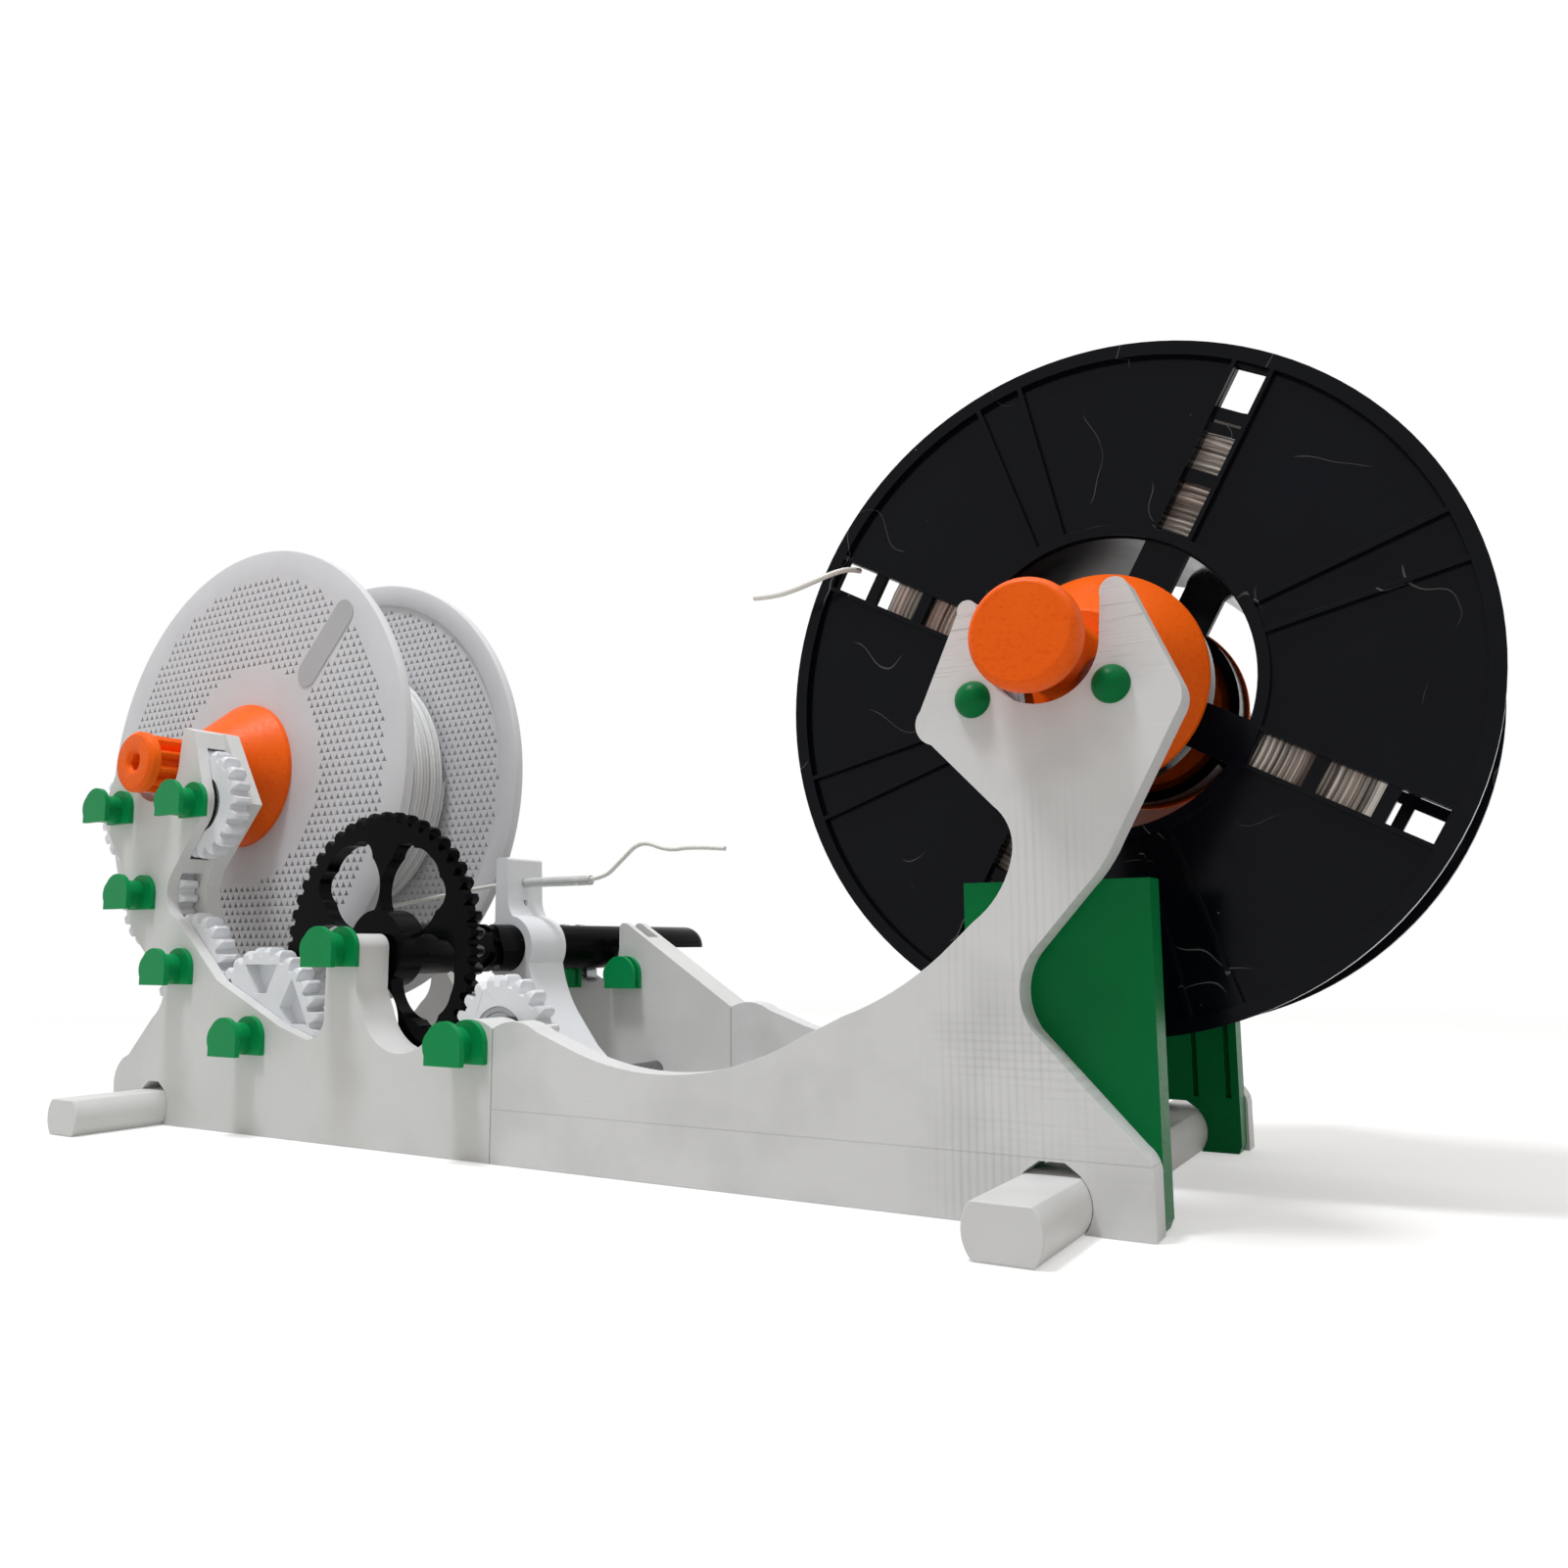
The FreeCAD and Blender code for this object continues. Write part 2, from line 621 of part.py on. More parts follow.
def left_horns():
    """Notched head of the front left half and of its rear wall, from the right horn to the left neck."""
    notch = float(S.notch_radius)
    return from_axle(TAKE_UP_X, [(16.8, 13.6), (notch, 0.0), (0.0, -notch, -notch, 0.0), (-16.0, 9.5),
                                 (-18.6, 14.6, -22.3, 10.6), (-33.8, -12.0), (-35.5, -17.0, -34.0, -22.5),
                                 (-20.9, -38.4)])


def front_left_outline():
    """Front wall of the left half: seam, tower, round valley, gear head and foot."""
    seam = float(S.seam_place)
    top = float(SHAFT.z + S.tower_rise)
    right = float(SHAFT.x) + 9.6
    left = float(SHAFT.x) - 6.2
    tower = [(seam, 41.0), (-4.0, 43.6, -14.0, 41.0), (-24.8, 36.8), (-43.0, 32.2, -56.5, 44.8),
             (right, 52.0), (right, top - 5.0), (right - 1.5, top - 1.5, right - 5.0, top), (left, top),
             (left, 45.0), (-77.0, 38.5, -87.6, 35.3), (-99.6, 38.7)]
    head = from_axle(TAKE_UP_X, [(47.5, -85.9), (20.7, -62.9), (12.4, -53.2, 14.0, -45.6), (27.4, -27.8),
                                 (32.6, -20.0, 31.2, -10.6), (24.2, 11.5)])
    return outline((seam, 0.0), tower + head + left_horns() + left_foot())


def rear_wall_outline():
    """Wall behind the gears of the left head, down to the floor."""
    inner = from_axle(TAKE_UP_X, [(44.5, -84.0), (32.0, -74.4, 20.4, -59.0), (18.9, -49.1), (21.5, -42.5),
                                  (43.1, -17.6), (25.6, 11.8)])
    start = float(TAKE_UP_X) + 44.5
    return outline((start, 0.0), inner + left_horns() + left_foot())


def rear_left_outline():
    """Rear left half: seam, straight slope, shaft tower with its notch, valley, head and foot."""
    seam = float(S.seam_place)
    top = float(SHAFT.z + S.rear_tower_rise)
    x = float(SHAFT.x)
    z = float(SHAFT.z)
    notch = float(S.notch_radius)
    tower = [(seam, 41.5), (x + 19.0, top), (x + notch + 1.4, top), (x + notch, top - 1.4), (x + notch, z),
             (x, z - notch, x - notch, z), (x - notch, top - 1.4), (x - notch - 1.4, top),
             (x - 19.0, top), (-136.0, 47.0)]
    neck = from_axle(TAKE_UP_X, [(36.5, -95.4, 23.8, -77.4)])
    return outline((seam, 0.0), tower + neck + head_steps(TAKE_UP_X, -1) + left_foot())


def rod_hole(name, x, y, length):
    """Hole for a cross rod: its round, open at the floor, and a roof over the flat."""
    middle = S.rod_height / 2
    half = (float(S.rod_radius) ** 2 - float(middle) ** 2) ** 0.5
    top = float(S.rod_height)
    roof = float(S.roof_height)
    gable = outline((-half, top - 2.0), [(-half, top + 0.4), (0.6 - half + roof, top + roof),
                                         (half - roof - 0.6, top + roof), (half, top + 0.4),
                                         (half, top - 2.0)])
    round_part = cylinder(name + "_round", S.rod_radius + S.rod_clearance, length, x, y, middle)
    return fuse(name, [round_part, plate(name + "_roof", Part.Face(gable), y, length, x=x)])


def pin_holes(name, places, y, length):
    radius = PIN_RADIUS + S.pin_hole_clearance
    return [cylinder("%s_%d" % (name, index), radius, length, x, y, z)
            for index, (x, z) in enumerate(places)]


def build_front_left():
    deep = S.gear_head_thickness
    base = plate("front_left_wall", Part.Face(front_left_outline()), 0, S.left_thickness)
    rear = plate("front_left_rear_wall", Part.Face(rear_wall_outline()), SLOT_BACK, deep - SLOT_BACK)
    tools = []
    for name, gear in (("idler_left", IDLER_LEFT), ("idler_right", IDLER_RIGHT), ("transfer", TRANSFER),
                       ("lower", LOWER)):
        reach = tip_radius(gear.teeth) + S.sweep_clearance
        tools.append(cylinder(name + "_sweep", reach, SLOT_BACK - S.front_wall, gear.x, S.front_wall, gear.z))
    reach = tip_radius(COMPOUND.teeth) + S.side_clearance * 3
    tools.append(cylinder("compound_sweep", reach, deep, COMPOUND.x, S.front_wall, COMPOUND.z))
    tools.append(cylinder("notch_sweep", S.notch_radius, SLOT_BACK - S.front_wall, TAKE_UP_X, S.front_wall,
                          S.axle_height))
    pins = [(gear.x, gear.z) for gear in (IDLER_LEFT, IDLER_RIGHT, TRANSFER, LOWER, COMPOUND, SHAFT, END)]
    tools += pin_holes("front_left_pin_hole", pins, -1, deep + 2)
    tools.append(rod_hole("front_left_rod_hole", -S.rod_left, -1, deep + 2))
    tools.append(cylinder("front_rail_socket", S.rail_radius + S.fit_clearance, S.rail_socket, -S.rail_x,
                          S.left_thickness - S.rail_socket, S.rail_height))
    grow = S.side_clearance
    tools.append(box("front_tongue_pocket",
                     (S.seam_place - S.tongue_length - grow, S.front_wall, S.tongue_foot - grow),
                     (S.seam_place + 1, S.left_thickness + 1, S.tongue_height + grow)))
    keep(cut("front_left", fuse("front_left_blank", [base, rear]), tools), "front_frame_left")


def build_tongue(name, front):
    """Tongue of a right half, with its lug behind the right plate."""
    thick = S.left_thickness if name == "front" else S.rear_left_thickness
    return box(name + "_tongue",
               (S.seam_place - S.tongue_length, front + S.front_wall + S.side_clearance, S.tongue_foot),
               (S.seam_place + S.tongue_lug, front + thick, S.tongue_height))


def build_front_right():
    blank = fuse("front_right_blank", [plate("front_right_wall",
                                             Part.Face(right_outline(S.front_foot_edge)), 0,
                                             S.right_thickness), build_tongue("front", Size(0))])
    tools = pin_holes("front_right_pin_hole", SUPPLY_ROLLERS, -1, S.right_thickness + 2)
    tools += pin_holes("front_tongue_pin_hole", [(END.x, END.z)], -1, S.gear_head_thickness + 2)
    tools.append(rod_hole("front_right_rod_hole", S.rod_right, -1, S.right_thickness + 2))
    keep(cut("front_right", blank, tools), "front_frame_right")


def build_rear_left():
    front = REAR_FRAME_FRONT
    deep = S.rear_left_thickness
    base = plate("rear_left_wall", Part.Face(rear_left_outline()), front, deep)
    tools = []
    width = S.bearing_width + 2 * S.side_clearance
    for index, (x, z) in enumerate(TAKE_UP_ROLLERS + SHAFT_ROLLERS):
        reach = S.bearing_outside / 2 + S.sweep_clearance
        tools.append(cylinder("roller_sweep_%d" % index, reach, width, x, front + S.roller_wall, z))
        tools.append(box("roller_slot_%d" % index, (x - reach, front + S.roller_wall, z),
                         (x + reach, front + S.roller_wall + width, z + 40)))
    pins = pin_holes("rear_left_pin_hole", TAKE_UP_ROLLERS + SHAFT_ROLLERS, front - 1, deep + 2)
    tools += pins
    tools.append(rod_hole("rear_left_rod_hole", -S.rod_left, front - 1, deep + 2))
    tools.append(cylinder("rear_rail_socket", S.rail_radius + S.fit_clearance, S.rail_socket, -S.rail_x,
                          front, S.rail_height))
    grow = S.side_clearance
    tools.append(box("rear_tongue_pocket",
                     (S.seam_place - S.tongue_length - grow, front + S.front_wall, S.tongue_foot - grow),
                     (S.seam_place + 1, REAR_LEFT_BACK + 1, S.tongue_height + grow)))
    keep(cut("rear_left", base, tools), "rear_frame_left")


def build_rear_right():
    front = REAR_FRAME_FRONT
    wall = plate("rear_right_wall", Part.Face(right_outline(S.rear_foot_edge)), front, S.right_thickness)
    blank = fuse("rear_right_blank", [wall, build_tongue("rear", front)])
    tools = pin_holes("rear_right_pin_hole", SUPPLY_ROLLERS, front - 1, S.right_thickness + 2)
    tools.append(rod_hole("rear_right_rod_hole", S.rod_right, front - 1, S.right_thickness + 2))
    keep(cut("rear_right", blank, tools), "rear_frame_right")


def build_rods():
    """Cross rods: a round bar with flats above and below."""
    length = S.rod_overhang + REAR_LEFT_BACK + S.rod_tail
    for name, x in (("left", -S.rod_left), ("right", S.rod_right)):
        bar = cylinder("rod_%s_round" % name, S.rod_radius, length, x, -S.rod_overhang, S.rod_height / 2)
        flats = box("rod_%s_flats" % name, (x - S.rod_radius - 1, -S.rod_overhang, 0),
                    (x + S.rod_radius + 1, length - S.rod_overhang, S.rod_height))
        keep(common("rod_" + name, bar, flats), "cross_rod_" + name)


def build_brace(name, y, edge, grooved):
    """Green brace plate, open over its cross rod, with its outer lower corner cut."""
    left = float(S.brace_left)
    right = float(edge)
    corner = float(S.brace_cut)
    shape = outline((left, 0.0), [(left, S.brace_top), (right, S.brace_top), (right, corner),
                                  (right - corner * 0.4, 0.0)])
    blank = plate(name + "_blank", Part.Face(shape), y, S.brace_thickness)
    tools = [rod_hole(name + "_rod_hole", S.rod_right, y - 1, S.brace_thickness + 2)]
    if grooved:
        for place_in in (S.brace_groove_edge, S.brace_groove_edge + S.brace_groove_step):
            x = edge - place_in
            tools.append(box("%s_groove_%d" % (name, len(tools)), (x - S.brace_groove_width, y - 1,
                                                                  S.brace_groove_bottom),
                             (x, y + S.brace_groove_depth, S.brace_top + 1)))
    keep(cut(name, blank, tools), name + "_plate")


def build_rail():
    length = REAR_FRAME_FRONT - S.left_thickness + 2 * S.rail_socket
    rail = cylinder("rail", S.rail_radius, length, -S.rail_x, S.left_thickness - S.rail_socket,
                    S.rail_height)
    keep(rail, "guide_rail")


# Pins and bearings


def clip_pin(name, x, z, front, length, depth):
    """A pin along Y whose head is a bobbin: two round-topped, flat-bottomed plates and a neck."""
    radius = float(S.clip_radius)
    bottom = -float(S.clip_bottom)
    face = outline((-radius, 0.0), [(0.0, radius, radius, 0.0), (radius, bottom), (-radius, bottom)])
    middle = x + S.clip_shift
    plates = [plate("%s_plate_%d" % (name, index), Part.Face(face), y, S.clip_plate, x=middle, z=z)
              for index, y in enumerate((front - depth, front - S.clip_plate))]
    neck = cylinder(name + "_neck", S.clip_neck_radius, depth, x, front - depth, z)
    stem = cylinder(name + "_stem", PIN_RADIUS, length, x, front, z)
    return fuse(name, plates + [neck, stem])


def dome_pin(name, x, z, face, length, inward):
    """A pin with a domed head. Its stem points along inward, +1 to the rear or -1 to the front."""
    ball_radius = (S.dome_radius * S.dome_radius + S.dome_height * S.dome_height) / (2 * S.dome_height)
    ball = DOC.addObject("Part::Sphere", name + "_ball")
    bind(ball, "Radius", ball_radius)
    place(ball, x, face + inward * (ball_radius - S.dome_height), z)
    start = face - S.dome_height - 1 if inward > 0 else face
    cap = cylinder(name + "_cap", S.dome_radius + 1, S.dome_height + 1, x, start, z)
    stem_start = face if inward > 0 else face - length
    stem = cylinder(name + "_stem", PIN_RADIUS, length, x, stem_start, z)
    return fuse(name, [common(name + "_dome", ball, cap), stem])


def group(label, items):
    """Separate solids that share one node."""
    item = DOC.addObject("Part::Compound", label)
    item.Links = items
    return item


def build_pins():
    slot_pins = []
    length = S.gear_head_thickness + S.pin_end
    for index, gear in enumerate((IDLER_LEFT, IDLER_RIGHT, TRANSFER, LOWER)):
        slot_pins.append(clip_pin("slot_pin_%d" % index, gear.x, gear.z, Size(0), length, S.clip_depth))
    keep(group("slot_pins", slot_pins), "idler_gear_pins")
    rear = S.rear_gear_front + S.gear_width
    seat = SHAFT_BEARING_FRONT + S.bearing_width
    for name, gear, reach in (("compound", COMPOUND, rear + S.pin_end), ("shaft", SHAFT, seat),
                              ("end", END, rear + S.pin_end)):
        node = "shaft_front_pin" if gear is SHAFT else name + "_gear_pin"
        keep(clip_pin(name + "_pin", gear.x, gear.z, Size(0), reach, S.clip_depth), node)

    reach = FRONT_ROLLER_Y + S.bearing_width + S.pin_end
    domes = [dome_pin("front_dome_%d" % index, x, z, Size(0), reach, 1)
             for index, (x, z) in enumerate(SUPPLY_ROLLERS)]
    keep(group("front_domes", domes), "front_roller_pins")
    back = REAR_FRAME_FRONT + S.right_thickness
    domes = [dome_pin("rear_dome_%d" % index, x, z, back, reach, -1)
             for index, (x, z) in enumerate(SUPPLY_ROLLERS)]
    keep(group("rear_domes", domes), "rear_right_roller_pins")
    for name, places in (("rear_left_roller_pins", TAKE_UP_ROLLERS), ("shaft_roller_pins", SHAFT_ROLLERS)):
        clips = [clip_pin("%s_%d" % (name, index), x, z, REAR_FRAME_FRONT,
                          S.rear_left_thickness + S.pin_end, S.rear_clip_depth)
                 for index, (x, z) in enumerate(places)]
        keep(group(name + "_group", clips), name)


def inner_ring(name, x, y, z):
    ring = [(S.bearing_bore / 2, y), (S.inner_ring_radius, y), (S.inner_ring_radius, y + S.bearing_width),
            (S.bearing_bore / 2, y + S.bearing_width)]
    return lathe(name, x, z, ring)


def outer_ring(name, x, y, z):
    """Outer ring with a shield at each face, which stops short of the inner ring."""
    outside = S.bearing_outside / 2
    race = S.race_radius
    lip = S.inner_ring_radius + S.shield_gap
    far = y + S.bearing_width
    first = y + S.shield_recess
    last = far - S.shield_recess
    thick = S.shield_thickness
    ring = [(outside, y), (outside, far), (race, far), (race, last), (lip, last), (lip, last - thick),
            (race, last - thick), (race, first + thick), (lip, first + thick), (lip, first), (race, first),
            (race, y)]
    return lathe(name, x, z, ring)


def bearing_places():
    """Each bearing's node, its axis and its front face."""
    slot = GEAR_FRONT + S.bearing_recess
    rear = S.rear_gear_front + S.bearing_recess
    rows = [("idler_left_bearing", IDLER_LEFT.x, slot, IDLER_LEFT.z),
            ("idler_right_bearing", IDLER_RIGHT.x, slot, IDLER_RIGHT.z),
            ("transfer_gear_bearing", TRANSFER.x, slot, TRANSFER.z),
            ("lower_gear_bearing", LOWER.x, slot, LOWER.z),
            ("compound_gear_bearing", COMPOUND.x, slot, COMPOUND.z),
            ("shaft_front_bearing", SHAFT.x, SHAFT_BEARING_FRONT, SHAFT.z),
            ("end_gear_bearing", END.x, rear, END.z)]
    for prefix, places, y in (("front_right_roller", SUPPLY_ROLLERS, FRONT_ROLLER_Y),
                              ("rear_right_roller", SUPPLY_ROLLERS, REAR_ROLLER_Y),
                              ("rear_left_roller", TAKE_UP_ROLLERS, SLOT_ROLLER_Y),
                              ("shaft_roller", SHAFT_ROLLERS, SLOT_ROLLER_Y)):
        for side, (x, z) in zip(("left", "right"), places):
            rows.append((prefix + "_" + side, x, y, z))
    return rows


def build_bearings():
    inner = []
    for node, x, y, z in bearing_places():
        keep(outer_ring(node + "_ring", x, y, z), node)
        inner.append(inner_ring(node + "_inner", x, y, z))
    keep(group("inner_rings", inner), "bearing_inner_rings")


# Gears and the level-wind shaft


def gear_plate(name, gear, teeth, phase, y, width):
    return plate(name, Part.Face(gear_wire(teeth, phase)), y, width, x=gear.x, z=gear.z)


def rounded_gear(name, gear, y, width, face=None):
    """A gear whose teeth fall off towards both faces."""
    tip = tip_radius(gear.teeth) + S.side_clearance
    round_off = S.tooth_round
    slope = round_off * 0.35
    far = y + width
    blank = plate(name + "_teeth", face or Part.Face(gear_wire(gear.teeth, gear.phase)), y, width,
                  x=gear.x, z=gear.z)
    disc = lathe(name + "_round", gear.x, gear.z,
                 [(0, y), (tip - round_off, y), (tip - slope, y + slope), (tip, y + round_off),
                  (tip, far - round_off), (tip - slope, far - slope), (tip - round_off, far), (0, far)])
    return common(name + "_wheel", blank, disc)


def bearing_pocket(name, gear, front):
    """Pocket for a bearing from a gear's front face."""
    return cylinder(name, POCKET_RADIUS, S.bearing_recess + S.bearing_width + S.fit_clearance, gear.x, front,
                    gear.z)


def build_bearing_gear(node, gear, front):
    """Small white gear round a bearing as wide as the gear."""
    wheel = rounded_gear(node, gear, front, S.gear_width)
    bore = cylinder(node + "_bore", POCKET_RADIUS, S.gear_width, gear.x, front, gear.z)
    keep(cut(node + "_gear", wheel, [bore]), node)


def build_compound():
    """Large wheel with pockets between tapered spokes, and the small pinion behind it."""
    gear = COMPOUND
    wheel = rounded_gear("compound", gear, GEAR_FRONT, S.wheel_width)
    back = GEAR_FRONT + S.wheel_width
    length = S.rear_gear_front + S.gear_width - back
    pinion = gear_plate("second_pinion", gear, S.second_pinion_teeth, 0.0, back, length)
    hub = cylinder("wheel_hub", S.bearing_outside / 2 + 2.6, S.rear_gear_front - S.side_clearance - GEAR_FRONT,
                   gear.x, GEAR_FRONT, gear.z)
    tools = [bearing_pocket("wheel_pocket", gear, GEAR_FRONT),
             cylinder("wheel_hole", PIN_RADIUS + S.pin_hole_clearance, 2 * S.rear_gear_front, gear.x,
                      GEAR_FRONT, gear.z)]
    inner = S.bearing_outside / 2 + 4.6
    outer = pitch_radius(gear.teeth) - S.dedendum - 2.6
    for index in range(6):
        angle = 30 + 60 * index
        window = turned_box(0, 0, inner, outer, 3.6, 9.4, angle)
        tools.append(plate("wheel_recess_%d" % index, Part.Face(window), GEAR_FRONT, S.wheel_width - 2.4,
                           x=gear.x, z=gear.z))
    keep(cut("compound_cut", fuse("compound_blank", [wheel, pinion, hub]), tools), "compound_gear")


def petal(angle):
    """One window of the shaft gear: an egg, narrow at the hub and widest nearer the rim."""
    inner = float(S.petal_inner)
    outer = float(S.petal_outer)
    half = float(S.petal_half_width)
    widest = outer - 12.0

    def at(radius, across):
        return turned(0, 0, radius, across, angle)

    steps = [at(inner, 5.6), at(widest - 7.2, half) + at(widest, half),
             at(widest + 6.6, half) + at(outer - 2.4, half - 6.4), at(outer, half - 11.5) + at(outer, 0),
             at(outer, 11.5 - half) + at(outer - 2.4, 6.4 - half), at(widest + 6.6, -half) + at(widest, -half),
             at(widest - 7.2, -half) + at(inner, -5.6)]
    return outline(at(inner, -5.6), steps)


def groove_cutter(hand):
    """A bar swept along a helix on the shaft, one way of the crossed groove."""
    radius = float(S.shaft_radius)
    pitch = float(S.groove_pitch)
    turns = float(S.groove_turns)
    depth = float(S.groove_depth)
    half = float(S.groove_width) / 2
    helix = Part.makeHelix(pitch, pitch * turns, radius, 0, hand < 0)
    section = Part.makePolygon([Vector(radius - depth, 0, -half), Vector(radius + 1.5, 0, -half),
                                Vector(radius + 1.5, 0, half), Vector(radius - depth, 0, half),
                                Vector(radius - depth, 0, -half)])
    cutter = Part.Wire(helix).makePipeShell([section], True, True)
    return cutter


def build_shaft():
    """Black gear and level-wind shaft in one piece: crossed helical groove, half-round tail."""
    front = S.rear_gear_front
    gear = SHAFT
    flat = Part.Face(gear_wire(gear.teeth, gear.phase))
    petals = [petal(float(S.petal_angle) + 360.0 / int(float(S.petal_count)) * index)
              for index in range(int(float(S.petal_count)))]
    spoked = first_face(flat.cut([Part.Face(wire) for wire in petals]))
    wheel = rounded_gear("shaft_gear", gear, front, S.shaft_gear_width, spoked)
    hub = cylinder("shaft_hub", S.shaft_hub_radius, S.shaft_hub_depth, gear.x, front, gear.z)
    bar = cylinder("shaft_bar", S.shaft_radius, REAR_LEFT_BACK - front - S.shaft_gear_width, gear.x,
                   front + S.shaft_gear_width, gear.z)
    tail_bar = cylinder("shaft_tail_bar", S.shaft_radius, S.shaft_tail - S.shaft_radius, gear.x, REAR_LEFT_BACK,
                        gear.z)
    nose = DOC.addObject("Part::Sphere", "shaft_nose")
    bind(nose, "Radius", S.shaft_radius)
    place(nose, gear.x, REAR_LEFT_BACK + S.shaft_tail - S.shaft_radius, gear.z)
    upper = box("shaft_tail_upper", (gear.x - S.shaft_radius - 1, REAR_LEFT_BACK, gear.z - 0.5),
                (gear.x + S.shaft_radius + 1, REAR_LEFT_BACK + S.shaft_tail + 1,
                 gear.z + S.shaft_radius + 1))
    tail = common("shaft_tail_half", fuse("shaft_tail_round", [tail_bar, nose]), upper)
    blank = fuse("shaft_blank", [wheel, hub, bar, tail])
    tools = [bearing_pocket("shaft_pocket", gear, front + S.shaft_hub_lip),
             cylinder("shaft_lip_hole", PIN_RADIUS + S.shaft_lip_gap, S.shaft_hub_depth, gear.x, front - 1,
                      gear.z)]
    rest = S.guide_front + S.guide_depth / 2 - S.groove_start
    top_angle = 90.0 - 360.0 * float(rest) / float(S.groove_pitch)
    for hand in (1, -1):
        shape = groove_cutter(hand)
        lead = Rotation(Vector(0, 1, 0), -top_angle) * Rotation(Vector(1, 0, 0), -90)
        item = solid("groove_%s" % ("right" if hand > 0 else "left"), shape)
        place(item, gear.x, S.groove_start, gear.z, lead)
        tools.append(item)
    keep(cut("level_wind", blank, tools), "level_wind_shaft")


# Guide arm


def arm_leg():
    """Side view of the arm: block over the shaft, swelling round it, leg down to the rail."""
    x = float(SHAFT.x)
    z = float(SHAFT.z)
    left = x - float(S.guide_left)
    right = x - float(S.guide_right)
    top = float(GUIDE_TOP)
    rail = float(S.rail_height)
    return outline((left, z), [(left, top - 1.5), (left + 0.4, top - 0.4, left + 1.5, top),
                               (right - 1.5, top), (right - 0.4, top - 0.4, right, top - 1.5),
                               (right + 0.6, z + 20.0), (right + 2.2, z + 14.4, right + 5.8, z + 10.4),
                               (right + 10.8, z + 3.6, right + 12.4, z - 4.5),
                               (right + 15.4, z - 15.5, right + 22.0, z - 27.0), (-rail_edge(), rail + 12.5),
                               (5.5 - float(S.rail_x), rail + 4.0), (-6.0 - float(S.rail_x), rail - 2.0),
                               (right + 9.0, z - 27.0), (right + 1.0, z - 14.0, left, z)])


def rail_edge():
    return float(S.rail_x) + 4.6


def build_guide():
    front = S.guide_front
    deep = S.guide_depth
    leg = plate("arm_leg", Part.Face(arm_leg()), front, deep)
    ring = cylinder("arm_ring", S.guide_ring_radius, deep, SHAFT.x, front, SHAFT.z)
    foot = cylinder("arm_foot", S.rail_foot_radius, deep, -S.rail_x, front, S.rail_height)
    middle = front + deep / 2
    block_left = SHAFT.x - S.guide_left
    follower_x = SHAFT.x - 2.0
    follower_low = SHAFT.z + S.shaft_radius + S.follower_gap
    tools = [cylinder("arm_bore", S.shaft_radius + S.running_clearance, deep + 2, SHAFT.x, front - 1, SHAFT.z),
             cylinder("arm_rail_bore", S.rail_radius + S.running_clearance, deep + 2, -S.rail_x, front - 1,
                      S.rail_height),
             cylinder("arm_tube_bore", S.tube_radius + S.fit_clearance, S.tube_length, block_left - 4, middle,
                      GUIDE_HOLE, ALONG_X),
             cylinder("arm_follower_bore", S.follower_radius + S.fit_clearance, S.follower_length + 2,
                      follower_x, middle, follower_low - 2, Rotation())]
    keep(cut("arm", fuse("arm_blank", [leg, ring, foot]), tools), "guide_arm")
    keep(cylinder("follower", S.follower_radius, S.follower_length, follower_x, middle, follower_low,
                  Rotation()), "follower_pin")
    outer = cylinder("tube_outer", S.tube_radius, S.tube_length, block_left, middle, GUIDE_HOLE,
                     ALONG_X)
    inner = cylinder("tube_inner", S.tube_bore / 2, S.tube_length + 2, block_left - 1, middle,
                     GUIDE_HOLE, ALONG_X)
    keep(cut("tube", outer, [inner]), "guide_tube")


# Axles, knobs, cones and spools


def build_take_up_axle():
    """Knob with a hexagon socket, the grooves of the knob as pinion teeth, and the axle."""
    front = -S.take_up_knob_front
    radius = S.take_up_knob_radius
    cap_end = front + S.knob_cap
    pinion_end = GEAR_FRONT + S.gear_width
    rear = REAR_LEFT_BACK + S.end_knob_gap + S.end_knob_length
    core = pitch_radius(S.pinion_teeth) - S.dedendum
    turned_part = lathe("take_up_turned", TAKE_UP_X, S.axle_height,
                        [(0, front), (radius - 1.4, front), (radius, front + 1.4), (radius, cap_end),
                         (core, cap_end), (core, pinion_end), (S.axle_radius, pinion_end),
                         (S.axle_radius, rear), (0, rear)])
    teeth = gear_plate("take_up_pinion", PINION, PINION.teeth, PINION.phase, cap_end, pinion_end - cap_end)
    flats = float(S.socket_flats) / math.sqrt(3)
    corners = [turned(0, 0, flats, 0, 60 * index) for index in range(6)]
    socket = plate("take_up_socket", Part.Face(outline(corners[0], corners[1:])), front - 1,
                   S.socket_depth + 1, x=TAKE_UP_X, z=S.axle_height)
    mouth = lathe("take_up_mouth", TAKE_UP_X, S.axle_height,
                  [(0, front - 1), (S.socket_flats / 2 + 2.6, front - 1), (S.socket_flats / 2, front + 1.6),
                   (0, front + 1.6)])
    keep(cut("take_up_cut", fuse("take_up_blank", [turned_part, teeth]), [socket, mouth]), "take_up_axle")


def build_supply_axle():
    front = -S.supply_knob_front
    radius = S.supply_knob_radius
    back = front + S.supply_knob_length
    rear = REAR_FRAME_FRONT + S.right_thickness + S.end_knob_gap + S.end_knob_length
    axle = lathe("supply_turned", SUPPLY_X, S.axle_height,
                 [(0, front), (radius - 1.6, front), (radius - 0.4, front + 1.2), (radius, front + 3.2),
                  (radius, back - 2.6), (radius - 0.5, back), (S.axle_radius, back), (S.axle_radius, rear),
                  (0, rear)])
    keep(axle, "supply_axle")


